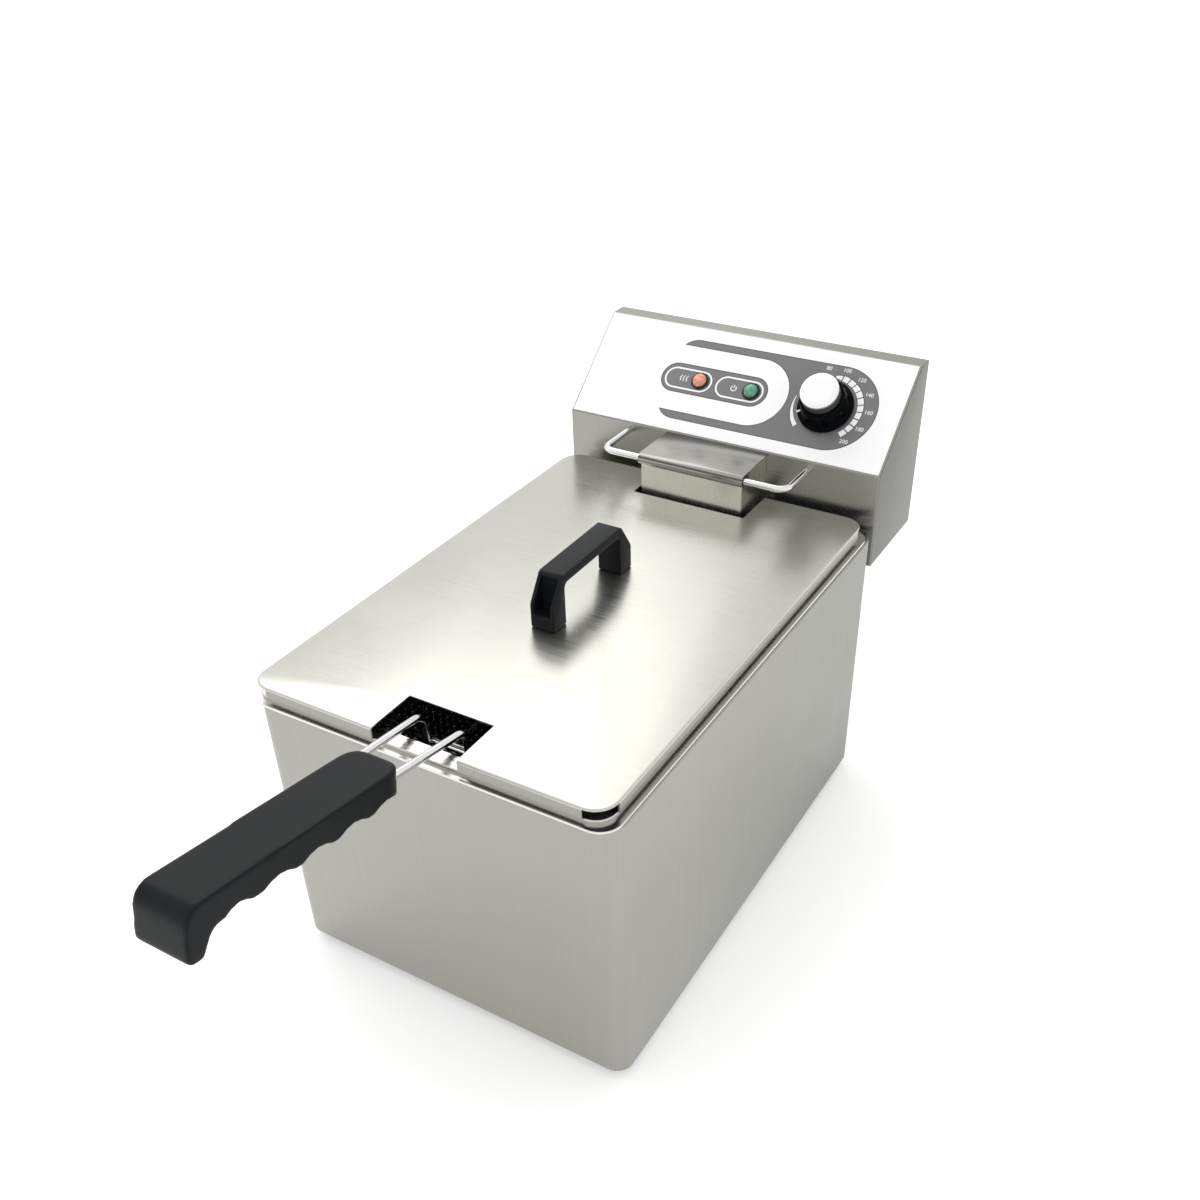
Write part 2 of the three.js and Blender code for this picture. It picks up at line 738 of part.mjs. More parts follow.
function elementBox() {
  let body = drawnAcross(legOutline(0), -boxHalf, boxHalf);
  body = body.subtract(drawnAcross(legOutline(sheet), -boxHalf + sheet, boxHalf - sheet));
  const noseLow = railZ - noseRadius - fit;
  body = body.subtract(box(-halfWidth, halfWidth, boxFront - sheet, railY + noseRadius + 1,
    noseLow, coverTop));
  for (const x of [-loopReturnX, -loopInnerX, loopInnerX, loopReturnX]) {
    body = body.subtract(bar([x, elementY, legBottom - sheet], [x, elementY, legBottom + 2 * sheet],
      elementRadius + fit));
  }
  for (const x of [thermostatBulbX, limitBulbX]) {
    body = body.subtract(bar([x, elementY, legBottom - sheet], [x, elementY, legBottom + 2 * sheet], 1.5));
  }
  return body;
}

// Top plate whose front edge curls round the rail's cross bar.
function elementCover() {
  const outer = noseRadius;
  const inner = noseRadius - sheet;
  const shape = new THREE.Shape();
  shape.moveTo(headFront - fit, coverTop);
  shape.lineTo(railY, coverTop);
  shape.absarc(railY, coverTop - outer, outer, Math.PI / 2, 1.45 * Math.PI, false);
  shape.absarc(railY, coverTop - outer, inner, 1.45 * Math.PI, Math.PI / 2, true);
  shape.lineTo(headFront - fit, coverTop - sheet);
  const half = boxHalf + coverOverhang;
  return drawnAcross(shape, -half, half, 8);
}

function heatingElement(side) {
  const y0 = openFront + 38;
  const yReturn = elementY - 28;
  const top = ductBottom + 18;
  const inner = side * loopInnerX;
  const back = side * loopReturnX;
  const outer = side * loopOuterX;
  return wire([
    [inner, elementY, top], [inner, elementY, elementZ], [inner, y0, elementZ], [outer, y0, elementZ],
    [outer, yReturn, elementZ], [back, yReturn, elementZ], [back, elementY, elementZ], [back, elementY, top],
  ], elementRadius, 13, 11, 8);
}

function elementStrap() {
  const top = elementZ - elementRadius - fit;
  return box(-loopOuterX - 6, loopOuterX + 6, caseDepth / 2 - 6, caseDepth / 2 + 6, top - 2, top);
}

// Sensing bulb in the oil with its capillary, up the leg and back into the head.
function sensor(x, ySwing, end) {
  const bulbRear = elementY - 42;
  const bulb = bar([x, bulbRear - 90, bulbZ], [x, bulbRear, bulbZ], 3, 12);
  const capillary = wire([
    [x, bulbRear - 2, bulbZ], [x, elementY, bulbZ], [x, elementY, ySwing], [x, end, ySwing],
  ], 0.9, 8, 6, 6);
  return bulb.add(capillary);
}

function limitThermostat() {
  const rear = headRear - 6;
  return box(resetX - 15, resetX + 15, rear - 22, rear, resetZ - 15, resetZ + 15);
}

function resetButton() {
  const front = headRear - 6 + fit + 2.5;
  return bar([resetX, front, resetZ], [resetX, headRear + 1.5, resetZ], resetRadius);
}

function terminalBlock() {
  const y = headFront + 20;
  const z = headBottom + sheet + fit;
  let body = box(-30, 30, y, y + 24, z, z + 16);
  for (let i = 0; i < 5; i += 1) {
    const x = (i - 2) * 11;
    body = body.subtract(bar([x, y + 12, z + 10], [x, y + 12, z + 18], 2.4, 10));
  }
  return body;
}

function interlockSwitch() {
  const y = headFront + sheet + fit;
  const z = headBottom + 14;
  const side = halfWidth - 6.5;
  const body = box(side - 28, side, y + 3, y + 13, z, z + 16);
  return body.add(box(side - 18, side - 14, y, y + 4, z + 5, z + 8));
}

part('element_box', elementBox(), steel);
part('element_cover', elementCover(), polished);
part('heating_element_left', heatingElement(-1), sheath);
part('heating_element_right', heatingElement(1), sheath);
part('element_strap', elementStrap(), steel);
part('thermostat_bulb', sensor(thermostatBulbX, ductBottom + 14, headFront + 14), copper);
part('limit_bulb', sensor(limitBulbX, ductBottom + 9, headFront + 14), copper);
part('limit_thermostat', limitThermostat(), bakelite);
part('reset_button', resetButton(), black);
part('terminal_block', terminalBlock(), bakelite);
part('interlock_switch', interlockSwitch(), bakelite);

// ---------------------------------------------------------------- basket rail

const railEnd = headFront + 12;

function basketRail() {
  return wire([
    [-railX, railEnd, railZ], [-railX, railY, railZ], [railX, railY, railZ], [railX, railEnd, railZ],
  ], railRadius, railBend, 5, 8);
}

function railNut(x) {
  const y = headFront + sheet + fit;
  return bar([x, y, railZ], [x, y + 3, railZ], railRadius + 1.7, 12)
    .subtract(bar([x, y - sheet, railZ], [x, y + 4, railZ], railRadius + fit));
}

part('basket_rail', basketRail(), chrome);
part('rail_nut_left', railNut(-railX), steel);
part('rail_nut_right', railNut(railX), steel);

// ---------------------------------------------------------------- basket, wires and grip

function fryBasket() {
  const gap = basketRod + fit;
  const x = rodHalf - gap;
  const y0 = rodFront + gap;
  const y1 = rodRear - gap;
  const w = basketWall;
  const outside = plate(-x, x, y0, y1, basketFloor, basketTop, basketCorner);
  const inside = plate(-x + w, x - w, y0 + w, y1 - w, basketFloor + w, basketTop + w, basketCorner - w);
  return outside.subtract(inside);
}

function basketRim() {
  const x = rodHalf;
  const low = basketTop - basketRod;
  const outside = plate(-x, x, rodFront, rodRear, low, basketTop, basketCorner + basketRod);
  const w = basketRod;
  const inside = plate(-x + w, x - w, rodFront + w, rodRear - w, low - w, basketTop + w, basketCorner);
  return outside.subtract(inside);
}

function basketHook(x) {
  const y = rodRear + 2 + fit;
  const top = lidTop - sheet - 6;
  return wire([
    [x, y, basketTop - 40], [x, y, top], [x, y + hookReach, top], [x, y + hookReach, top - hookTip],
  ], 2, 7, 4, 6);
}

const wireReach = gripStart + wireInGrip;

// Half the distance between the two wires, a given way along the grip.
function wireX(along) {
  return forkX - wirePinch * along / wireReach;
}

function forkWire(side) {
  return wire([
    [side * forkX, forkY, basketTop - 70], [side * forkX, forkY, forkZ],
    [side * wireX(wireReach), forkY - wireReach * Math.cos(forkRise), forkZ + wireReach * Math.sin(forkRise)],
  ], forkRadius, 9, 5, 8);
}

// Side view of the grip: flat top, hooked far end, finger hollows below.
function gripOutline() {
  const low = gripTop - gripDepth;
  const start = gripStart;
  const end = gripStart + gripLength;
  const shape = new THREE.Shape();
  shape.moveTo(-start, gripTop - 5);
  shape.quadraticCurveTo(-start, gripTop, -start - 5, gripTop);
  shape.lineTo(-end + 10, gripTop);
  shape.quadraticCurveTo(-end, gripTop, -end, gripTop - 10);
  shape.lineTo(-end, -gripHook);
  shape.lineTo(-end + 4, -gripHook - 4);
  shape.lineTo(-end + 8, -gripHook - 4);
  const heel = -end + 19;
  shape.quadraticCurveTo(-end + 12, low, heel, low);
  for (let i = 0; i < fingers; i += 1) {
    const crest = heel + i * fingerPitch;
    shape.quadraticCurveTo(crest + fingerPitch / 2, low + 8, crest + fingerPitch, low);
  }
  shape.lineTo(-start, low + 4);
  return shape;
}

function basketGrip() {
  const half = gripWidth / 2;
  let body = drawnAcross(gripOutline(), -half, half, 6);
  for (const side of [-1, 1]) {
    body = body.subtract(bar([side * wireX(gripStart - 2), -gripStart + 2, 0],
      [side * wireX(wireReach + 2), -wireReach - 2, 0], forkRadius + fit));
  }
  return body;
}

part('fry_basket', fryBasket(), chrome);
part('basket_rim', basketRim(), chrome);
part('basket_hook_left', basketHook(-hookX), chrome);
part('basket_hook_right', basketHook(hookX), chrome);
part('fork_wire_left', forkWire(-1), chrome);
part('fork_wire_right', forkWire(1), chrome);
part('basket_grip', basketGrip(), black, gripFrame);

// ---------------------------------------------------------------- origin at the base's middle

const gripEnd = gripStart + gripLength;
const foremost = forkY - gripEnd * Math.cos(forkRise) - gripHook * Math.sin(forkRise);
const rearmost = headRear + fit + 2;
fryer.position.y = -(foremost + rearmost) / 2;

export default fryer;
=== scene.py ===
"""The visible pieces of a countertop deep fryer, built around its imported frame.

Sizes are in metres. +X is the user's right, +Y runs from the basket's grip to the control head.
"""
import json
import math
from contextlib import contextmanager

import bmesh
import bpy
from mathutils import Matrix, Vector


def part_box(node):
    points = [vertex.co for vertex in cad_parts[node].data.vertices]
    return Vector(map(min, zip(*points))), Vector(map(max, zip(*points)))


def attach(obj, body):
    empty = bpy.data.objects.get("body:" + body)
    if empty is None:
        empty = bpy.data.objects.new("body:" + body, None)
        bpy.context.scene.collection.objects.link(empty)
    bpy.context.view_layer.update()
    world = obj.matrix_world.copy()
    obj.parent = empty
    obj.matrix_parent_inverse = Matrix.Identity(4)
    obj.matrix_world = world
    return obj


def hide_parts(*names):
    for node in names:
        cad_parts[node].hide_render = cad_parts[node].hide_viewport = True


bl_info = {
    "name": "Countertop Deep Fryer",
    "version": (1, 0, 0),
    "blender": (4, 5, 0),
    "location": "3D View > Sidebar > Fryer",
    "description": "Builds a countertop deep fryer's visible pieces around its frame",
    "category": "Object",
}

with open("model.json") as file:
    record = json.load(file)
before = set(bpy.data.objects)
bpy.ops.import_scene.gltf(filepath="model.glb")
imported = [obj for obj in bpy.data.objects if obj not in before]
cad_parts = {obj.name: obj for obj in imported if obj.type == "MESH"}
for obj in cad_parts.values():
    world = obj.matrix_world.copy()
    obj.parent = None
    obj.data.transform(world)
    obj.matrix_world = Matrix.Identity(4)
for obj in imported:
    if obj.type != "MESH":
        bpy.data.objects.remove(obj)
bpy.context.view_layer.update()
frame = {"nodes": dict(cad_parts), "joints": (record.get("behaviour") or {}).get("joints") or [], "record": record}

MM = 0.001
X, Y, Z = range(3)
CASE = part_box("outer_case")
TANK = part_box("oil_tank")
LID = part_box("lid_pan")
LID_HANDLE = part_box("lid_handle")
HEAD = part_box("head_housing")
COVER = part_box("rear_cover")
ELEMENT_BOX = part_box("element_box")
ELEMENT_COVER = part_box("element_cover")
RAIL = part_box("basket_rail")
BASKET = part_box("fry_basket")
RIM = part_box("basket_rim")
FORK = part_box("fork_wire_right")

DIAL_JOINT = next(joint for joint in frame["joints"] if joint["name"] == "thermostat_turn")
INTO_SLOPE = Vector(DIAL_JOINT["axis"]).normalized()
OUT_OF_SLOPE = -INTO_SLOPE
UP_SLOPE = OUT_OF_SLOPE.cross(Vector((1, 0, 0)))
DIAL_X, DIAL_Y, DIAL_Z = DIAL_JOINT["pos_m"]
DIAL_UP = (DIAL_Y - HEAD[0].y) / UP_SLOPE.y
SLOPE_FOOT = Vector((0, HEAD[0].y, DIAL_Z - DIAL_UP * UP_SLOPE.z))
SLOPE_LENGTH = (HEAD[1].z - SLOPE_FOOT.z) / UP_SLOPE.z

# From the fascia's own plane (x across, y up the slope, z out of it) into the frame.
TILT = Matrix.Translation(SLOPE_FOOT) @ Matrix(
    (Vector((1, 0, 0)), UP_SLOPE, OUT_OF_SLOPE)).transposed().to_4x4()
LEDGE_TOP = LID[0].z + 2.5 * MM  # the tank's raised ledge, inside the lid's skirts
FILM_FACE = 0.8 * MM             # the film's face above the slope's sheet
KNOB_TOP = FILM_FACE + 25.6 * MM
LAMPS = {"heat": (-33.0 * MM, 45.9 * MM), "power": (11.4 * MM, 45.5 * MM)}

# The fork wires turn forward just under the lid's top and lean together; the grip lies along them.
WIRE_RADIUS = 2.5 * MM
WIRE_X = FORK[1].x - WIRE_RADIUS
WIRE_END_X = FORK[0].x + WIRE_RADIUS
WIRE_TURN = Vector((0, FORK[1].y - WIRE_RADIUS, LID[1].z - 3.6 * MM))
WIRE_RISE = math.radians(9)
ALONG_GRIP = Matrix.Translation(WIRE_TURN) @ Matrix.Rotation(-WIRE_RISE, 4, "X")
GRIP_START = 57 * MM
GRIP_END = 213 * MM


# ------------------------------------------------------------------ what a user can change

class FryerSizes(bpy.types.PropertyGroup):
    """Fine sizes of the visible pieces."""

    case_corner: bpy.props.FloatProperty(
        name="Case corner", description="Radius of the case's upright corners",
        default=12 * MM, unit="LENGTH")
    fold: bpy.props.FloatProperty(
        name="Sheet fold", description="Outer radius where sheet steel is folded",
        default=1.5 * MM, unit="LENGTH")
    sheet: bpy.props.FloatProperty(
        name="Sheet", description="Thickness of the sheet steel", default=1 * MM, unit="LENGTH")
    lid_corner: bpy.props.FloatProperty(
        name="Lid corner", description="Radius of the lid's corners",
        default=15 * MM, unit="LENGTH")
    tank_corner: bpy.props.FloatProperty(
        name="Tank corner", description="Radius of the tank's upright corners",
        default=25 * MM, unit="LENGTH")
    mesh_pitch: bpy.props.FloatProperty(
        name="Mesh pitch", description="Spacing of the basket's wires",
        default=7 * MM, unit="LENGTH")
    mesh_wire: bpy.props.FloatProperty(
        name="Mesh wire", description="Diameter of the basket's fine wires",
        default=1.2 * MM, unit="LENGTH")
    dial_from: bpy.props.IntProperty(
        name="Lowest mark", description="First number on the dial", default=80)
    dial_step: bpy.props.IntProperty(
        name="Mark step", description="Difference between two numbers on the dial", default=20)
    dial_marks: bpy.props.IntProperty(
        name="Marks", description="How many numbers the dial shows", default=7, min=2)


class FryerColours(bpy.types.PropertyGroup):
    """Colours of the finishes, as linear values."""

    steel: bpy.props.FloatVectorProperty(
        name="Brushed steel", description="Case, lid and head", size=3, subtype="COLOR",
        default=(0.526, 0.520, 0.472))
    bright: bpy.props.FloatVectorProperty(
        name="Bright steel", description="Tank and element cover", size=3, subtype="COLOR",
        default=(0.60, 0.59, 0.55))
    chrome: bpy.props.FloatVectorProperty(
        name="Chrome", description="Plated wires", size=3, subtype="COLOR",
        default=(0.78, 0.78, 0.77))
    film: bpy.props.FloatVectorProperty(
        name="Fascia film", description="Ground colour of the printed film", size=3,
        subtype="COLOR", default=(0.93, 0.93, 0.93))
    print_grey: bpy.props.FloatVectorProperty(
        name="Print grey", description="Grey fields printed on the film", size=3,
        subtype="COLOR", default=(0.155, 0.155, 0.16))
    black: bpy.props.FloatVectorProperty(
        name="Black plastic", description="Handle, grip and knob", size=3, subtype="COLOR",
        default=(0.016, 0.020, 0.024))
    amber: bpy.props.FloatVectorProperty(
        name="Heat lamp", description="Lens of the heat lamp", size=3, subtype="COLOR",
        default=(0.72, 0.27, 0.15))
    green: bpy.props.FloatVectorProperty(
        name="Power lamp", description="Lens of the power lamp", size=3, subtype="COLOR",
        default=(0.045, 0.26, 0.15))


# ------------------------------------------------------------------ bench work

def only(piece):
    """Selects one object and makes it the active one."""
    bpy.ops.object.select_all(action="DESELECT")
    piece.select_set(True)
    bpy.context.view_layer.objects.active = piece


def named(name):
    """Names the object that was just added and puts its place into its mesh."""
    piece = bpy.context.object
    piece.name = name
    piece.data.name = name
    bpy.ops.object.transform_apply(location=True, rotation=True, scale=True)
    return piece


@contextmanager
def editing(piece, what="FACE"):
    """Edit mode on one piece, with nothing selected."""
    only(piece)
    bpy.ops.object.mode_set(mode="EDIT")
    bpy.ops.mesh.select_mode(type=what)
    bpy.ops.mesh.select_all(action="DESELECT")
    try:
        yield
    finally:
        bpy.ops.object.mode_set(mode="OBJECT")


def pick(piece, what, test):
    """Selects the verts, edges or faces of the piece in edit mode that pass the test."""
    mesh = bmesh.from_edit_mesh(piece.data)
    for item in getattr(mesh, what):
        if test(item):
            item.select_set(True)
    mesh.select_flush_mode()
    bmesh.update_edit_mesh(piece.data)


def near(a, b, slack=0.02 * MM):
    return abs(a - b) < slack


def facing(axis, sign):
    """Test for faces that look up or down an axis."""
    return lambda face: face.normal[axis] * sign > 0.9


def edge_along(axis):
    """Test for edges that run along an axis."""
    def test(edge):
        run = edge.verts[1].co - edge.verts[0].co
        return run.length > 0 and abs(run[axis]) > 0.999 * run.length
    return test


def edge_at(axis, value):
    """Test for edges that lie in the plane where an axis has that value."""
    return lambda edge: all(near(vert.co[axis], value) for vert in edge.verts)


def block(name, low, high):
    """A box between two corners, to be shaped further."""
    bpy.ops.object.select_all(action="DESELECT")
    low, high = Vector(low), Vector(high)
    bpy.ops.mesh.primitive_cube_add(size=1, location=(low + high) / 2)
    bpy.context.object.scale = high - low
    return named(name)


def round_edges(piece, test, radius, segments=4):
    """Bevels the edges that pass the test."""
    with editing(piece, "EDGE"):
        pick(piece, "edges", test)
        bpy.ops.mesh.bevel(offset=radius, segments=segments, affect="EDGES", clamp_overlap=True)


def tablet(name, low, high, corner, segments=8):
    """A box with rounded upright corners."""
    piece = block(name, low, high)
    round_edges(piece, edge_along(Z), corner, segments)
    return piece


def drop_faces(piece, test):
    with editing(piece):
        pick(piece, "faces", test)
        bpy.ops.mesh.delete(type="FACE")


def modified(piece, kind, **settings):
    """Adds one modifier and applies it."""
    only(piece)
    bpy.ops.object.modifier_add(type=kind)
    modifier = piece.modifiers[-1]
    for key, value in settings.items():
        setattr(modifier, key, value)
    bpy.ops.object.modifier_apply(modifier=modifier.name)
    return piece


def cut(piece, *cutters, operation="DIFFERENCE"):
    """Takes the cutters' shapes out of the piece, and puts the cutters away."""
    for cutter in cutters:
        modified(piece, "BOOLEAN", operation=operation, object=cutter, solver="EXACT")
        bpy.data.objects.remove(cutter)
    return piece


def walled(piece, thickness):
    """Gives an open shell its wall, inwards from its outer face."""
    return modified(piece, "SOLIDIFY", thickness=thickness, offset=-1, use_even_offset=True)


def eased(piece, width, segments=2, angle=32):
    """Breaks the sharp edges of a finished piece."""
    return modified(piece, "BEVEL", width=width, segments=segments, limit_method="ANGLE",
                    angle_limit=math.radians(angle), use_clamp_overlap=True,
                    harden_normals=False)


def smoothed(piece, angle=35):
    only(piece)
    bpy.ops.object.shade_smooth_by_angle(angle=math.radians(angle))
    return piece


def moved(piece, matrix):
    """Takes a piece from its own plane into the frame."""
    only(piece)
    piece.matrix_world = matrix @ piece.matrix_world
    bpy.ops.object.transform_apply(location=True, rotation=True, scale=True)
    return piece


def tidy_faces(piece):
    """Merges doubles and turns all faces outwards."""
    with editing(piece):
        bpy.ops.mesh.select_all(action="SELECT")
        bpy.ops.mesh.remove_doubles(threshold=0.001 * MM)
        bpy.ops.mesh.normals_make_consistent(inside=False)
    return piece


def joined(name, pieces):
    """Several solids as one piece."""
    only(pieces[0])
    for piece in pieces:
        piece.select_set(True)
    bpy.context.view_layer.objects.active = pieces[0]
    if len(pieces) > 1:
        bpy.ops.object.join()
    whole = bpy.context.object
    whole.name = name
    whole.data.name = name
    return whole


def turned(name, profile, sides=48):
    """A lathe-turned piece about +Z, drawn up through (radius, height) steps."""
    radius, height = profile[0]
    bpy.ops.object.select_all(action="DESELECT")
    bpy.ops.mesh.primitive_circle_add(vertices=sides, radius=radius, fill_type="NGON",
                                      location=(0, 0, height))
    piece = named(name)
    with editing(piece):
        bpy.ops.mesh.select_all(action="SELECT")
        for next_radius, next_height in profile[1:]:
            bpy.ops.mesh.extrude_region_move(
                TRANSFORM_OT_translate={"value": (0, 0, next_height - height)})
            scale = next_radius / radius
            bpy.ops.transform.resize(value=(scale, scale, 1), center_override=(0, 0, next_height))
            radius, height = next_radius, next_height
    return tidy_faces(piece)


def post(name, radius, start, end, sides=32):
    """A round bar between two points."""
    start, end = Vector(start), Vector(end)
    along = end - start
    bpy.ops.object.select_all(action="DESELECT")
    bpy.ops.mesh.primitive_cylinder_add(
        vertices=sides, radius=radius, depth=along.length, location=(start + end) / 2,
        rotation=along.to_track_quat("Z", "Y").to_euler())
    return named(name)


def rounded_corner(before, corner, after, radius, steps):
    """Points of the arc that rounds a corner between two straight runs."""
    inward = (before - corner).normalized()
    outward = (after - corner).normalized()
    half = inward.angle(outward) / 2
    if radius <= 0 or half > math.pi / 2 - 0.001:
        return [corner]
    reach = radius / math.tan(half)
    centre = corner + (inward + outward).normalized() * (radius / math.sin(half))
    first = corner + inward * reach - centre
    last = corner + outward * reach - centre
    turn = first.angle(last)
    points = []
    for step in range(steps + 1):
        share = step / steps
        spread = math.sin((1 - share) * turn) * first + math.sin(share * turn) * last
        points.append(centre + spread / math.sin(turn))
    return points


def route(points, radius, closed=False, steps=6):
    """Straight runs through the points with rounded corners. A point may carry its own radius."""
    places = [Vector(point[:3]) for point in points]
    radii = [point[3] if len(point) > 3 else radius for point in points]
    count = len(places)
    path = []
    for i, place in enumerate(places):
        if not closed and i in (0, count - 1):
            path.append(place)
            continue
        path += rounded_corner(places[i - 1], place, places[(i + 1) % count], radii[i], steps)
    return path


def traced(name, outline, low, high, steps=6):
    """An outline in the YZ plane, of (y, z, corner radius) points, drawn out along X."""
    flat = [(0, point[0], point[1], point[2] if len(point) > 2 else 0) for point in outline]
    path = route(flat, 0, closed=True, steps=steps)
    bpy.ops.object.select_all(action="DESELECT")
    bpy.ops.mesh.primitive_plane_add(size=1 * MM)
    piece = named(name)
    with editing(piece, "VERT"):
        bpy.ops.mesh.select_all(action="SELECT")
        bpy.ops.mesh.merge(type="CENTER")
        here = Vector((low, path[0].y, path[0].z))
        bpy.ops.transform.translate(value=here)
        for place in path[1:]:
            there = Vector((low, place.y, place.z))
            bpy.ops.mesh.extrude_region_move(TRANSFORM_OT_translate={"value": there - here})
            here = there
        bpy.ops.mesh.select_all(action="SELECT")
        bpy.ops.mesh.edge_face_add()
        bpy.ops.mesh.extrude_region_move(TRANSFORM_OT_translate={"value": (high - low, 0, 0)})
    return tidy_faces(piece)


def wire(name, points, radius, bend=0, closed=False, steps=8, ring=4):
    """A bent round wire as a closed mesh."""
    path = route(points, bend, closed, steps)
    bpy.ops.object.select_all(action="DESELECT")
    bpy.ops.curve.primitive_bezier_curve_add()
    piece = bpy.context.object
    curve = piece.data
    curve.splines.clear()
    spline = curve.splines.new("POLY")
    spline.points.add(len(path) - 1)
    for point, place in zip(spline.points, path):
        point.co = (*place, 1)
    spline.use_cyclic_u = closed
    curve.dimensions = "3D"
    curve.bevel_depth = radius
    curve.bevel_resolution = ring
    curve.use_fill_caps = not closed
    bpy.ops.object.convert(target="MESH")
    return smoothed(tidy_faces(named(name)), 50)


def rod_round(name, low, high, radius, bend):
    """A closed ring of round wire that lies under the top of a box, just inside its sides."""
    x0, x1 = low.x + radius, high.x - radius
    y0, y1 = low.y + radius, high.y - radius
    level = high.z - radius
    ring = [(x0, y0, level), (x1, y0, level), (x1, y1, level), (x0, y1, level)]
    return wire(name, ring, radius, bend, closed=True, steps=10)


def finish_piece(piece, material, body, *nodes, slot=None):
    """Gives a piece its material and body, and hides the frame nodes it replaces."""
    piece.data.materials.clear()
    piece.data.materials.append(material)
    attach(piece, body)
    if nodes:
        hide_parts(*nodes)
    return piece


# ------------------------------------------------------------------ shader arithmetic

class Signal:
    """A shader output that can be added, scaled and compared like a number."""

    def __init__(self, recipe, socket):
        self.recipe = recipe
        self.socket = socket

    def maths(self, operation, *others, clamp=False):
        settings = {"operation": operation, "use_clamp": clamp}
        return self.recipe.node("ShaderNodeMath", settings, dict(enumerate((self, *others))))

    def __add__(self, other):
        return self.maths("ADD", other)

    __radd__ = __add__

    def __sub__(self, other):
        return self.maths("SUBTRACT", other)

    def __rsub__(self, other):
        return self.recipe.node("ShaderNodeMath", {"operation": "SUBTRACT"}, {0: other, 1: self})

    def __mul__(self, other):
        return self.maths("MULTIPLY", other)

    __rmul__ = __mul__

    def __truediv__(self, other):
        return self.maths("DIVIDE", other)

    def at_least(self, other):
        return self.maths("MAXIMUM", other)

    def at_most(self, other):
        return self.maths("MINIMUM", other)

    def size(self):
        return self.maths("ABSOLUTE")

    def held(self):
        """The value kept between 0 and 1."""
        return self.maths("ADD", 0.0, clamp=True)


class Recipe:
    """One procedural material and the nodes that make it."""

    def __init__(self, name, **constants):
        self.material = bpy.data.materials.new(name)
        self.material.use_nodes = True
        self.tree = self.material.node_tree
        self.shader = self.tree.nodes["Principled BSDF"]
        for key, value in constants.items():
            self.shader.inputs[key.replace("_", " ")].default_value = value

    def node(self, kind, settings=None, inputs=None, output=0):
        node = self.tree.nodes.new(kind)
        for key, value in (settings or {}).items():
            if key == "stops":
                self.set_stops(node.color_ramp, value)
            else:
                setattr(node, key, value)
        for key, value in (inputs or {}).items():
            if isinstance(value, Signal):
                self.tree.links.new(value.socket, node.inputs[key])
            else:
                node.inputs[key].default_value = value
        return Signal(self, node.outputs[output])

    @staticmethod
    def set_stops(ramp, stops):
        while len(ramp.elements) < len(stops):
            ramp.elements.new(1)
        for element, (position, value) in zip(ramp.elements, stops):
            element.position = position
            element.color = (value, value, value, 1)

    def feed(self, name, signal):
        self.tree.links.new(signal.socket, self.shader.inputs[name])

    def place(self, scale=(1, 1, 1), shift=(0, 0, 0)):
        """Object coordinates, moved by the shift and then stretched."""
        here = self.node("ShaderNodeTexCoord", output="Object")
        shifted = self.node("ShaderNodeVectorMath", {"operation": "ADD"}, {0: here, 1: shift})
        return self.node("ShaderNodeVectorMath", {"operation": "MULTIPLY"}, {0: shifted, 1: scale})

    def axis(self, direction, origin=(0, 0, 0)):
        """Distance along a direction from an origin."""
        from_origin = self.place(shift=tuple(-value for value in origin))
        return self.node("ShaderNodeVectorMath", {"operation": "DOT_PRODUCT"},
                         {0: from_origin, 1: tuple(direction)}, output="Value")

    def noise(self, scale, detail=2.0, roughness=0.5, stretch=(1, 1, 1)):
        return self.node("ShaderNodeTexNoise", {}, {
            "Vector": self.place(stretch), "Scale": scale, "Detail": detail, "Roughness": roughness,
        }, output="Fac")

    def ramp(self, signal, *stops):
        return self.node("ShaderNodeValToRGB", {"stops": stops}, {"Fac": signal}, output="Color")

    def mix(self, share, below, above):
        """A colour between two, by a mask from 0 to 1."""
        inputs = {0: share}
        for key, value in ((6, below), (7, above)):
            inputs[key] = value if isinstance(value, Signal) else (*value, 1)[:4]
        return self.node("ShaderNodeMix", {"data_type": "RGBA"}, inputs, output=2)

    def made(self, colour, roughness, height, strength, depth=0.05 * MM):
        """Feeds the shader its colour, roughness and bumps, and gives the material."""
        self.feed("Base Color", colour)
        self.feed("Roughness", roughness)
        self.feed("Normal", self.node("ShaderNodeBump", {}, {
            "Height": height, "Strength": strength, "Distance": depth}, output="Normal"))
        return self.material


def shade(colour, factor):
    return tuple(min(1.0, value * factor) for value in colour)


def brushed_steel(name, colour, along, roughness=0.33, grain=1.0, shade_mask=None, shade_by=0.7):
    """Sheet steel with fine scratches along one axis and faint cloudy marks.

    Where the optional mask, a function of the recipe, rises to 1, the sheet is darker by the given factor; this
    darkening is painted shade.
    """
    recipe = Recipe(name, Metallic=1.0)
    stretch = [1.0, 1.0, 1.0]
    stretch[along] = 0.012
    scratches = recipe.noise(1500.0, 2.0, 0.65, stretch)
    lines = recipe.noise(420.0, 2.0, 0.6, stretch)
    clouds = recipe.noise(14.0, 3.0, 0.55)
    tone = (scratches - 0.5) * 0.16 * grain + (lines - 0.5) * 0.20 * grain + (clouds - 0.5) * 0.16
    share = (tone + 0.5).held()
    darkest, lightest = 0.80, 1.22
    sheet = recipe.mix(share, shade(colour, darkest), shade(colour, lightest))
    # Painted shade: where the mask rises, the sheet takes darker copies of its own tones.
    if shade_mask:
        shaded_tones = shade(colour, darkest * shade_by), shade(colour, lightest * shade_by)
        dark = recipe.mix(share, *shaded_tones)
        sheet = recipe.mix(shade_mask(recipe).held(), sheet, dark)
    polish = (scratches - 0.5) * 0.20 + (clouds - 0.5) * 0.14 + roughness
    return recipe.made(sheet, polish, scratches * 0.6 + lines * 0.4, 0.16 * grain)


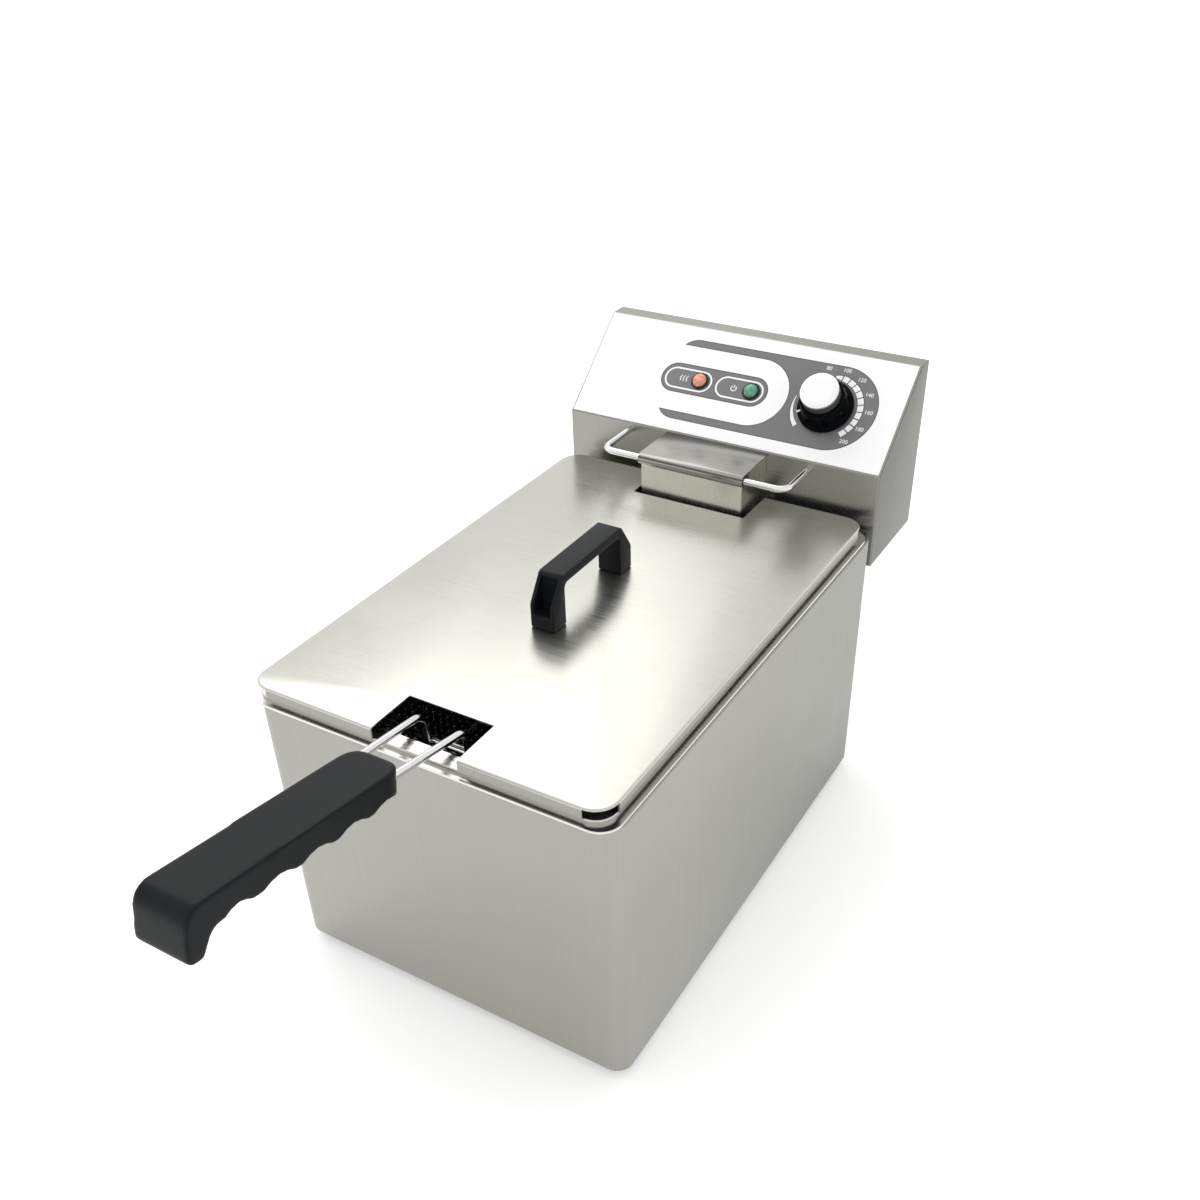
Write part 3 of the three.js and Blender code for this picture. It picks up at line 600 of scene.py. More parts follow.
def plated_wire(name, colour):
    """Bright chrome with faint dulling."""
    recipe = Recipe(name, Metallic=1.0)
    haze = recipe.noise(60.0, 3.0)
    plating = recipe.mix(haze, shade(colour, 0.88), shade(colour, 1.08))
    return recipe.made(plating, haze * 0.14 + 0.06, recipe.noise(900.0, 2.0), 0.05)


def moulded_plastic(name, colour, roughness=0.42, grain=0.35, specular=0.5):
    """Black moulded plastic with a fine spark-eroded grain."""
    recipe = Recipe(name, Specular_IOR_Level=specular)
    pits = recipe.noise(1600.0, 2.0, 0.6)
    rubbed = recipe.noise(35.0, 4.0, 0.6)
    surface = recipe.mix(rubbed, shade(colour, 0.75), shade(colour, 1.45))
    polish = (pits - 0.5) * 0.16 + (rubbed - 0.5) * 0.20 + roughness
    return recipe.made(surface, polish, pits, grain, 0.06 * MM)


def rubber(name):
    recipe = Recipe(name)
    dust = recipe.noise(120.0, 4.0)
    surface = recipe.mix(dust, (0.012, 0.012, 0.012), (0.05, 0.048, 0.045))
    return recipe.made(surface, dust * 0.2 + 0.7, recipe.noise(700.0, 2.0), 0.3, 0.1 * MM)


def coloured_lens(name, colour):
    """Clear tinted lamp lens, moulded in small facets."""
    recipe = Recipe(name, IOR=1.49, Coat_Weight=1.0, Coat_Roughness=0.04)
    facets = recipe.node("ShaderNodeTexVoronoi", {}, {"Vector": recipe.place(), "Scale": 480.0},
                         output="Distance")
    tint = recipe.mix(facets.held(), shade(colour, 0.55), shade(colour, 1.5))
    return recipe.made(tint, facets * 0.15 + 0.14, facets, 0.25, 0.2 * MM)


def dark_moulding(name, colour):
    """Phenolic moulding of switches and blocks."""
    recipe = Recipe(name)
    flow = recipe.noise(45.0, 5.0, 0.65)
    surface = recipe.mix(flow, shade(colour, 0.7), shade(colour, 1.4))
    return recipe.made(surface, flow * 0.2 + 0.42, recipe.noise(800.0, 2.0), 0.2)


def warm_metal(name, cool, hot, roughness=0.35):
    """Sheath or capillary metal with heat colours that drift along it."""
    recipe = Recipe(name, Metallic=1.0)
    drift = recipe.noise(22.0, 3.0)
    specks = recipe.noise(500.0, 2.0)
    surface = recipe.mix(recipe.ramp(drift, (0.38, 0.0), (0.62, 1.0)), cool, hot)
    return recipe.made(surface, specks * 0.16 + roughness - 0.08, specks, 0.12)


class FilmPrint:
    """Masks of the printed fields, from signed distances in the fascia's plane."""

    SOFT = 0.12 * MM

    def __init__(self, recipe):
        self.recipe = recipe
        self.across = recipe.axis((1, 0, 0))
        self.up = recipe.axis(UP_SLOPE, SLOPE_FOOT)

    def inside(self, distance):
        return (0.5 - distance / self.SOFT).held()

    def line(self, distance, width):
        return self.inside(distance.size() - width / 2)

    def round_box(self, left, right, low, high, radius):
        beside = (self.across - (left + right) / 2).size() - ((right - left) / 2 - radius)
        above = (self.up - (low + high) / 2).size() - ((high - low) / 2 - radius)
        outside = self.hypotenuse(beside.at_least(0.0), above.at_least(0.0))
        return outside + beside.at_least(above).at_most(0.0) - radius

    def hypotenuse(self, a, b):
        return (a * a + b * b).maths("SQRT")

    def around(self, x, y):
        """Distance from a point, and the bearing round it: shares of a turn, clockwise from the top."""
        right = self.across - x
        above = self.up - y
        distance = self.hypotenuse(right, above)
        bearing = right.maths("ARCTAN2", above) / (2 * math.pi)
        return distance, bearing


def printed_film(name, colours):
    """White film printed with grey fields, white rings, a segmented heat scale and a zero mark."""
    recipe = Recipe(name, Coat_Weight=0.35, Coat_Roughness=0.22)
    film = FilmPrint(recipe)
    ink, outline = tuple(colours.print_grey), shade(colours.print_grey, 0.30)
    paper = tuple(colours.film)
    grain = recipe.noise(900.0, 2.0)
    colour = recipe.mix(grain, shade(paper, 0.985), shade(paper, 1.02))
    inked = recipe.mix(grain, shade(ink, 0.9), shade(ink, 1.1))

    # The grey field is a band that runs from two pointed tips at the left round the dial.
    low, high = 11 * MM, 80.3 * MM
    band = film.round_box(-61.0 * MM, 90 * MM, low, high, 16.2 * MM)
    round_dial = film.round_box(0.0, 112.8 * MM, low, high, (high - low) / 2)
    clearing = film.round_box(-160 * MM, 41.6 * MM, 17.0 * MM, 74.6 * MM, 28.79 * MM)
    field = band.at_most(round_dial).at_least(clearing * -1.0)
    colour = recipe.mix(film.inside(field), colour, inked)
    colour = recipe.mix(film.line(field, 0.7 * MM), colour, outline)

    # One pill holds both lamps, each in a white ring.
    pill = film.round_box(-66.5 * MM, 24.5 * MM, 33.4 * MM, 58.0 * MM, 12.29 * MM)
    colour = recipe.mix(film.inside(pill), colour, inked)
    colour = recipe.mix(film.line(pill, 0.8 * MM), colour, outline)
    for left, right in ((-63.9 * MM, -22.5 * MM), (-19.3 * MM, 21.7 * MM)):
        ring = film.round_box(left, right, 36.2 * MM, 54.9 * MM, 9.34 * MM)
        colour = recipe.mix(film.line(ring + 0.9 * MM, 2.4 * MM), colour, outline)
        colour = recipe.mix(film.line(ring + 0.9 * MM, 1.5 * MM), colour, paper)

    distance, bearing = film.around(DIAL_X, DIAL_UP)
    # The heat scale: blocks clockwise from the top, the first of them narrower.
    blocks, pitch, first = 11, 12.9 / 360, 3.0 / 360
    scale_radius, widest = 26.05 * MM, 2.25 * MM
    along = (bearing - (first - pitch / 2)) / pitch
    half_width = (along * 1.1 * MM + 0.9 * MM).at_most(widest)
    scale_band = (distance - scale_radius).size() - half_width
    gaps = 0.5 - (along.maths("FRACT") - 0.5).size()
    in_sweep = (0.5 - ((along - blocks / 2).size() - blocks / 2) / 0.05).held()
    colour = recipe.mix(film.inside(scale_band - 0.6 * MM) * in_sweep, colour, outline)
    scale = film.inside(scale_band) * ((gaps - 0.06) / 0.03).held() * in_sweep
    colour = recipe.mix(scale, colour, paper)

    # The zero mark: a crescent that widens towards its lower end.
    zero_from, zero_to = -136 / 360, -78 / 360
    zero_radius = 26.2 * MM
    share = (bearing - zero_from) / (zero_to - zero_from)
    zero_band = (distance - zero_radius).size() - ((1.0 - share) * 1.55 * MM + 0.25 * MM)
    in_mark = (0.5 - ((share - 0.5).size() - 0.5) / 0.02).held()
    colour = recipe.mix(film.inside(zero_band - 0.5 * MM) * in_mark, colour, outline)
    colour = recipe.mix(film.inside(zero_band) * in_mark, colour, paper)

    return recipe.made(colour, grain * 0.10 + 0.34, grain, 0.06, 0.03 * MM)


class Finishes:
    """The materials, each made once."""

    def __init__(self):
        colours = bpy.context.scene.fryer_colours
        steel = tuple(colours.steel)
        bright = tuple(colours.bright)
        black = tuple(colours.black)
        # Painted light and shade: the case, lid, head and element box are one steel, and the element cover is the
        # tank's bright steel. These factors paint the lid and box lighter and the case, head and cover darker.
        self.case = brushed_steel("brushed_case", shade(steel, 0.70), Z, 0.36,
                                  shade_mask=self.toward_rear, shade_by=0.72)
        self.lid = brushed_steel("brushed_lid", shade(steel, 1.07), X, 0.29, 0.6,
                                 shade_mask=self.on_skirts, shade_by=0.58)
        self.head = brushed_steel("brushed_head", shade(steel, 0.60), X, 0.30,
                                  shade_mask=self.on_head_sides, shade_by=0.50)
        self.box = brushed_steel("brushed_box", shade(steel, 1.45), Z, 0.30)
        self.tank = brushed_steel("drawn_tank", bright, Z, 0.24, 0.5)
        self.cover = brushed_steel("bright_cover", shade(bright, 0.56), X, 0.25, 0.8,
                                   shade_mask=self.painted_nose_lines, shade_by=0.30)
        self.fastener = brushed_steel("plated_fastener", (0.50, 0.50, 0.49), Y, 0.30, 0.5)
        self.chrome = plated_wire("chrome_wire", tuple(colours.chrome))
        self.handle = moulded_plastic("handle_black", shade(black, 0.28), 0.34, specular=0.15)
        self.grip = moulded_plastic("grip_black", shade(black, 0.25), 0.40, specular=0.16)
        self.knob = moulded_plastic("knob_black", shade(black, 0.10), 0.14, 0.05, specular=0.025)
        self.cap = self.knob_cap()
        self.mark = moulded_plastic("white_ink", (0.85, 0.85, 0.85), 0.5, 0.05)
        self.bezel = moulded_plastic("lamp_bezel", shade(black, 0.5), 0.3, 0.1, specular=0.3)
        self.film = printed_film("printed_film", colours)
        self.amber = coloured_lens("amber_lens", tuple(colours.amber))
        self.green = coloured_lens("green_lens", tuple(colours.green))
        self.rubber = rubber("foot_rubber")
        self.moulding = dark_moulding("phenolic", (0.05, 0.035, 0.028))
        self.sheath = warm_metal("element_sheath", (0.30, 0.29, 0.27), (0.22, 0.17, 0.11))
        self.copper = warm_metal("copper_tube", (0.55, 0.30, 0.18), (0.38, 0.18, 0.10), 0.3)

    @staticmethod
    def toward_rear(recipe):
        """Painted shade: rises along the case from front to rear, so the case is painted darker towards its rear.
        """
        start = CASE[0].y + 80 * MM
        return (recipe.axis((0, 1, 0)) - start) / (CASE[1].y - start)

    @staticmethod
    def painted_nose_lines(recipe):
        """Two dark lines painted round the element cover's nose, under its top and at its lower edge: painted dark
        reflections on the curl.
        """
        height = recipe.axis((0, 0, 1))
        upper = 0.8 * MM - (height - (ELEMENT_COVER[1].z - 2.4 * MM)).size()
        lower = ELEMENT_COVER[0].z + 1.1 * MM - height
        return upper.at_least(lower) / (0.3 * MM)

    @staticmethod
    def on_skirts(recipe):
        """Painted shade on the lid's folded skirts, below its top sheet."""
        return (LID[1].z - 1.4 * MM - recipe.axis((0, 0, 1))) / (0.4 * MM)

    @staticmethod
    def on_head_sides(recipe):
        """Painted shade on the control head's two side walls."""
        return (recipe.axis((1, 0, 0)).size() - (HEAD[1].x - 0.6 * MM)) / (0.3 * MM)

    @staticmethod
    def knob_cap():
        """Spun aluminium disc, nearly white, with a grey rim band and a painted dark reflection on the wall below
        it.
        """
        recipe = Recipe("spun_cap", Metallic=0.55)
        rings = recipe.noise(1800.0, 2.0)
        below_top = KNOB_TOP - recipe.axis(OUT_OF_SLOPE, SLOPE_FOOT)
        rim = ((below_top - 0.35 * MM) / (0.2 * MM)).held()
        # Painted reflection: the cap's side wall, from 1.5 mm below its top, is painted near black.
        wall = ((below_top - 1.5 * MM) / (0.3 * MM)).held()
        face = recipe.mix(rings, (0.84, 0.84, 0.84), (0.95, 0.95, 0.95))
        edge = recipe.mix(wall, (0.30, 0.30, 0.30), (0.035, 0.035, 0.035))
        surface = recipe.mix(rim, face, edge)
        return recipe.made(surface, rings * 0.12 + 0.24, rings, 0.04, 0.03 * MM)


finishes = None


def finish_set():
    """The shared materials, made on first use."""
    global finishes
    if finishes is None:
        finishes = Finishes()
    return finishes


# ------------------------------------------------------------------ operators

class FRYER_OT_stage(bpy.types.Operator):
    """Pale floor, soft studio light and the camera"""

    bl_idname = "fryer.stage"
    bl_label = "Stage and camera"

    def execute(self, context):
        self.floor()
        self.lights(context)
        self.camera(context)
        return {"FINISHED"}

    def floor(self):
        bpy.ops.object.select_all(action="DESELECT")
        bpy.ops.mesh.primitive_plane_add(size=40)
        floor = named("studio_floor")
        recipe = Recipe("pale_floor", Roughness=0.9, Specular_IOR_Level=0.0)
        recipe.feed("Base Color", recipe.mix(
            recipe.noise(3.0), (0.95, 0.95, 0.95), (0.97, 0.97, 0.97)))
        recipe.shader.inputs["Emission Color"].default_value = (1, 1, 1, 1)
        recipe.shader.inputs["Emission Strength"].default_value = 0.24
        floor.data.materials.append(recipe.material)

    def lights(self, context):
        world = bpy.data.worlds.new("studio_world")
        context.scene.world = world
        world.use_nodes = True
        background = world.node_tree.nodes["Background"].inputs
        background["Color"].default_value = (1, 1, 1, 1)
        background["Strength"].default_value = 1.0
        context.scene.view_settings.view_transform = "Standard"
        self.panel("back_softbox", place=(-1.16, 0.81, 1.89), target=(0, 0, 0.2),
                   size=(2.2, 1.35), watts=12.5)

    def panel(self, name, place, target, size, watts):
        """A rectangular area light that looks at a point."""
        bpy.ops.object.select_all(action="DESELECT")
        aim = Vector(target) - Vector(place)
        bpy.ops.object.light_add(type="AREA", location=place,
                                 rotation=aim.to_track_quat("-Z", "Y").to_euler())
        lamp = bpy.context.object
        lamp.name = name
        lamp.data.shape = "RECTANGLE"
        lamp.data.size, lamp.data.size_y = size
        lamp.data.energy = watts

    def camera(self, context):
        place = Vector((386.5 * MM, CASE[0].y - 415.15 * MM, CASE[0].z + 653.37 * MM))
        yaw, pitch, roll = math.radians(31.224), math.radians(35.836), math.radians(1.389)
        ahead = Vector((-math.sin(yaw) * math.cos(pitch), math.cos(yaw) * math.cos(pitch),
                        -math.sin(pitch)))
        right = ahead.cross(Vector((0, 0, 1))).normalized()
        down = ahead.cross(right)
        level_right = math.cos(roll) * right + math.sin(roll) * down
        level_down = -math.sin(roll) * right + math.cos(roll) * down
        bpy.ops.object.select_all(action="DESELECT")
        bpy.ops.object.camera_add()
        camera = bpy.context.object
        camera.name = "front_right_view"
        turn = Matrix((level_right, -level_down, -ahead)).transposed().to_4x4()
        camera.matrix_world = Matrix.Translation(place) @ turn
        camera.data.sensor_width = 36
        camera.data.lens = 36.795
        camera.data.shift_x = -0.0151
        camera.data.shift_y = 0.0763
        camera.data.clip_start = 0.01
        context.scene.camera = camera


class FRYER_OT_cad_finishes(bpy.types.Operator):
    """Finishes for the frame's own nodes that stay in view"""

    bl_idname = "fryer.cad_finishes"
    bl_label = "Frame finishes"

    def execute(self, context):
        kit = finish_set()
        by_slot = {
            "case_steel": kit.case, "tank_steel": kit.tank, "fastener_steel": kit.fastener,
            "chrome_wire": kit.chrome, "fascia_film": kit.film, "black_plastic": kit.handle,
            "knob_silver": kit.cap, "amber_lens": kit.amber, "green_lens": kit.green,
            "bakelite": kit.moulding, "element_sheath": kit.sheath, "copper": kit.copper,
            "foot_rubber": kit.rubber,
        }
        slots = {part["node"]: part["material_slot"] for part in frame["record"]["subparts"]}
        for name, node in frame["nodes"].items():
            node.data.materials.clear()
            node.data.materials.append(by_slot[slots[name]])
        return {"FINISHED"}


class FRYER_OT_case(bpy.types.Operator):
    """Outer case with its folded top and bottom flanges"""

    bl_idname = "fryer.case"
    bl_label = "Case"

    def execute(self, context):
        sizes = context.scene.fryer_sizes
        under_rim = 0.9 * MM
        low, high = CASE[0], CASE[1] - Vector((0, 0, under_rim))
        shell = tablet("case_shell", low, high, sizes.case_corner, 10)
        for level in (low.z, high.z):
            round_edges(shell, edge_at(Z, level), sizes.fold, 3)
        flange = 4 * MM
        with editing(shell):
            pick(shell, "faces", lambda face: any(
                near(face.calc_center_median().z, level) for level in (low.z, high.z)))
            bpy.ops.mesh.inset(thickness=flange - sizes.fold + sizes.sheet)
            bpy.ops.mesh.delete(type="FACE")
        smoothed(walled(shell, sizes.sheet))
        finish_piece(shell, finish_set().case, "case", "outer_case", slot="case_steel")
        return {"FINISHED"}


class FRYER_OT_tank(bpy.types.Operator):
    """Lift-out tank with a flat rim and a rolled bright edge"""

    bl_idname = "fryer.tank"
    bl_label = "Oil tank"

    def execute(self, context):
        sizes = context.scene.fryer_sizes
        kit = finish_set()
        low, high = TANK
        wall, floor_round = 0.8 * MM, 12 * MM
        side, front, rear = 14.8 * MM, 14.4 * MM, 15 * MM
        inner_low = Vector((low.x + side, low.y + front, low.z + wall))
        inner_high = Vector((high.x - side, high.y - rear, high.z + 5 * MM))
        outer_low = inner_low - Vector((wall, wall, wall))
        outer_high = Vector((inner_high.x + wall, inner_high.y + wall, high.z - wall / 2))

        tank = tablet("tank_well", (low.x, low.y, high.z - wall), high, 14 * MM, 8)
        outside = tablet("tank_outside", outer_low, outer_high, sizes.tank_corner + wall, 10)
        round_edges(outside, edge_at(Z, outer_low.z), floor_round, 5)
        cut(tank, outside, operation="UNION")
        inside = tablet("tank_inside", inner_low, inner_high, sizes.tank_corner, 10)
        round_edges(inside, edge_at(Z, inner_low.z), floor_round - wall, 5)
        smoothed(cut(tank, inside), 30)
        finish_piece(tank, kit.tank, "tank", "oil_tank", slot="tank_steel")
        self.step(kit, inner_low, inner_high, sizes.tank_corner)

        bead = rod_round("tank_bead", low, high, 1.35 * MM, 13 * MM)
        finish_piece(bead, kit.chrome, "tank", slot="tank_steel")
        return {"FINISHED"}

    @staticmethod
    def step(kit, inner_low, inner_high, corner):
        """Raised ledge round the opening, just inside the lid's skirts."""
        inset, gap, past = 1.4 * MM, 1.5 * MM, 5 * MM
        bottom = TANK[1].z - 0.1 * MM
        ledge = tablet("tank_step", (LID[0].x + inset, LID[0].y + inset, bottom),
                       (LID[1].x - inset, LID[1].y - inset, LEDGE_TOP), 13 * MM, 8)
        round_edges(ledge, edge_at(Z, LEDGE_TOP), 1 * MM, 3)
        opening = tablet("opening", (inner_low.x, inner_low.y, bottom - past),
                         inner_high, corner, 10)
        box_low, box_high = ELEMENT_BOX
        passage = block("passage", (box_low.x - gap, box_low.y - gap, bottom - past),
                        (box_high.x + gap, box_high.y + gap, LID[1].z))
        smoothed(cut(ledge, opening, passage), 30)
        finish_piece(ledge, kit.tank, "tank", slot="tank_steel")


class FRYER_OT_lid(bpy.types.Operator):
    """Flat lid with folded skirts, a wire notch and an element notch"""

    bl_idname = "fryer.lid"
    bl_label = "Lid"

    def execute(self, context):
        sizes = context.scene.fryer_sizes
        low, high = Vector((LID[0].x, LID[0].y, LEDGE_TOP - 0.2 * MM)), LID[1]
        lid = tablet("lid_sheet", low, high, sizes.lid_corner, 10)
        round_edges(lid, edge_at(Z, high.z), sizes.fold, 3)
        drop_faces(lid, facing(Z, -1))
        walled(lid, sizes.sheet)
        past = 5 * MM
        corner = sizes.lid_corner
        under_sheet = high.z - sizes.sheet - 0.05 * MM
        cutters = []
        # The skirts end before the rounded corners: a cutter at each takes the wall away.
        for x in (low.x, high.x):
            for y in (low.y, high.y):
                tip = Vector((x, y, 0))
                toward = Vector((-math.copysign(corner, x), corner if y == low.y else -corner, 0))
                ends = (tip - toward.normalized() * past, tip + toward)
                cutters.append(block(
                    "corner_cut",
                    (min(end.x for end in ends), min(end.y for end in ends), low.z - past),
                    (max(end.x for end in ends), max(end.y for end in ends), under_sheet)))
        front_half, front_deep = 31 * MM, 37 * MM
        cutters.append(block("wire_notch", (-front_half, low.y - past, low.z - past),
                             (front_half, low.y + front_deep, high.z + past)))
        rear_half, rear_deep = 47 * MM, 39 * MM
        cutters.append(block("element_notch", (-rear_half, high.y - rear_deep, low.z - past),
                             (rear_half, high.y + past, high.z + past)))
        smoothed(cut(lid, *cutters), 30)
        finish_piece(lid, finish_set().lid, "lid", "lid_pan", slot="case_steel")
        return {"FINISHED"}


class FRYER_OT_lid_handle(bpy.types.Operator):
    """Bridge handle with a screw pocket in each sloping end"""

    bl_idname = "fryer.lid_handle"
    bl_label = "Lid handle"

    def execute(self, context):
        low, high = LID_HANDLE
        middle = (low.y + high.y) / 2
        foot = (high.y - low.y) / 2
        top = 37 * MM
        gap = 35 * MM
        knee = low.z + 17 * MM
        under = high.z - 6.5 * MM
        outline = [
            (middle - foot, low.z, 0.8 * MM), (middle - gap, low.z, 0.8 * MM),
            (middle - gap, under, 4 * MM), (middle + gap, under, 4 * MM),
            (middle + gap, low.z, 0.8 * MM), (middle + foot, low.z, 0.8 * MM),
            (middle + foot, knee, 5 * MM), (middle + top, high.z, 4 * MM),
            (middle - top, high.z, 4 * MM), (middle - foot, knee, 5 * MM),
        ]
        handle = traced("lid_bridge", outline, low.x, high.x)
        pockets = []
        wall, seat = 2.6 * MM, 9.5 * MM
        for sign in (-1, 1):
            back = middle + sign * (gap + wall)
            mouth = middle + sign * (foot + 10 * MM)
            pockets.append(block("pocket", (low.x + wall, min(back, mouth), low.z + seat),
                                 (high.x - wall, max(back, mouth), high.z - wall)))
        cut(handle, *pockets)
        smoothed(eased(handle, 0.9 * MM, 3), 40)
        finish_piece(handle, finish_set().handle, "lid", "lid_handle", slot="black_plastic")
        return {"FINISHED"}


class FRYER_OT_head(bpy.types.Operator):
    """Sloping control head and its louvred rear cover"""

    bl_idname = "fryer.head"
    bl_label = "Control head"

    def execute(self, context):
        sizes = context.scene.fryer_sizes
        kit = finish_set()
        low, high = HEAD
        fold = sizes.fold
        crown = SLOPE_FOOT.y + SLOPE_LENGTH * UP_SLOPE.y
        outline = [(low.y, low.z), (high.y, low.z), (high.y, high.z),
                   (crown, high.z, 1.2 * fold), (low.y, SLOPE_FOOT.z, 1.2 * fold)]
        housing = traced("head_shell", outline, low.x, high.x, steps=4)
        round_edges(housing, lambda edge: self.side_fold(edge, low, high), 0.9 * MM, 3)
        drop_faces(housing, lambda face: facing(Y, 1)(face) or facing(Z, -1)(face))
        smoothed(walled(housing, sizes.sheet), 30)
        finish_piece(housing, kit.head, "head", "head_housing", slot="case_steel")
        self.rear_cover(kit)
        return {"FINISHED"}

    @staticmethod
    def side_fold(edge, low, high):
        """Edges between a side wall and the front, slope or top."""
        on_side = edge_at(X, low.x)(edge) or edge_at(X, high.x)(edge)
        return on_side and not (edge_at(Z, low.z)(edge) or edge_at(Y, high.y)(edge))

    def rear_cover(self, kit):
        low, high = COVER
        rear = high.y
        sheet = 1 * MM
        back = block("rear_panel", (low.x, rear - sheet, low.z), high)
        floor = block("rear_floor", low, (high.x, rear - sheet / 2, low.z + sheet))
        cut(back, floor, operation="UNION")
        rows, pitch, lowest = 9, 7 * MM, low.z + 45 * MM
        half, hood_half, hood_radius, hood_wall = 26 * MM, 25 * MM, 3 * MM, 0.6 * MM
        wide, past = 30 * MM, 6 * MM
        vents = []
        hoods = []
        for row in range(rows):
            level = lowest + row * pitch
            vents.append(block("vent", (-half, rear - 2 * sheet, level),
                               (half, rear + sheet, level + 3 * MM)))
            bars = []
            for thinner in (0, hood_wall):
                reach = hood_half - thinner
                bars.append(post("hood", hood_radius - thinner, (-reach, rear, level + 3.4 * MM),
                                 (reach, rear, level + 3.4 * MM), 20))
            below = block("hood_below", (-wide, rear - past, level - past),
                          (wide, rear + past, level + 1.6 * MM))
            ahead = block("hood_ahead", (-wide, rear - past, level - past),
                          (wide, rear - 0.2 * MM, level + 2 * past))
            hoods.append(cut(*bars, below, ahead))
        cut(back, *vents)
        cover = joined("vented_cover", [back, *hoods])
        smoothed(cover, 30)
        finish_piece(cover, kit.head, "head", "rear_cover", slot="case_steel")


class FRYER_OT_fascia(bpy.types.Operator):
    """Printed film with the dial's numbers and two small lamp symbols"""

    bl_idname = "fryer.fascia"
    bl_label = "Fascia"

    def execute(self, context):
        kit = finish_set()
        half = HEAD[1].x - 1.8 * MM
        margin = 0.9 * MM
        film = tablet("fascia_film", (-half, margin, 0.2 * MM),
                      (half, SLOPE_LENGTH - margin, FILM_FACE), 0.8 * MM, 4)
        moved(smoothed(film), TILT)
        finish_piece(film, kit.film, "head", "fascia_panel", slot="fascia_film")
        self.numbers(context, kit)
        self.symbols(kit)
        return {"FINISHED"}

    def numbers(self, context, kit):
        """Numbers round the dial, from the top clockwise."""
        sizes = context.scene.fryer_sizes
        sweep, first, reach = 152, -15.5, 33 * MM
        ink = 0.02 * MM
        pieces = []
        for i in range(sizes.dial_marks):
            bearing = math.radians(sweep * i / (sizes.dial_marks - 1) + first)
            bpy.ops.object.select_all(action="DESELECT")
            bpy.ops.object.text_add()
            text = bpy.context.object
            text.data.body = str(sizes.dial_from + i * sizes.dial_step)
            text.data.size = 4.5 * MM
            text.data.offset = 0.05 * MM
            text.data.align_x = "CENTER"
            text.data.align_y = "CENTER"
            text.data.extrude = ink
            text.data.resolution_u = 3
            bpy.ops.object.convert(target="MESH")
            digits = bpy.context.object
            digits.location = (DIAL_X + reach * math.sin(bearing),
                               DIAL_UP + reach * math.cos(bearing), FILM_FACE + ink)
            pieces.append(named("digits"))
        numbers = moved(joined("dial_numbers", pieces), TILT)
        finish_piece(numbers, kit.mark, "head", slot="fascia_film")

    def symbols(self, kit):
        """Three rising waves by the heat lamp, a broken ring with a stroke by the power lamp."""
        level = FILM_FACE + 0.02 * MM
        stroke = 0.4 * MM
        x, up = LAMPS["heat"]
        pieces = []
        for i in range(3):
            wave_x = x - 17 * MM + i * 2.6 * MM
            points = [(wave_x + 0.5 * MM * math.sin(step * 1.1),
                       up - 2.6 * MM + step * 0.65 * MM, level) for step in range(9)]
            pieces.append(wire("wave", points, stroke, ring=1))
        x, radius = LAMPS["power"][0] - 15 * MM, 2.2 * MM
        arc = [(x + radius * math.sin(turn), up - 0.3 * MM - radius * math.cos(turn), level)
               for turn in (math.radians(-140 + 20 * step) for step in range(15))]
        pieces.append(wire("broken_ring", arc, stroke, ring=1))
        pieces.append(wire("stroke", [(x, up, level), (x, up + 2.7 * MM, level)], stroke, ring=1))
        symbols = joined("lamp_symbols", pieces)
        with editing(symbols, "VERT"):
            bpy.ops.mesh.select_all(action="SELECT")
            bpy.ops.transform.resize(value=(1, 1, 0.1), center_override=(0, 0, level))
        finish_piece(moved(symbols, TILT), kit.mark, "head", slot="fascia_film")


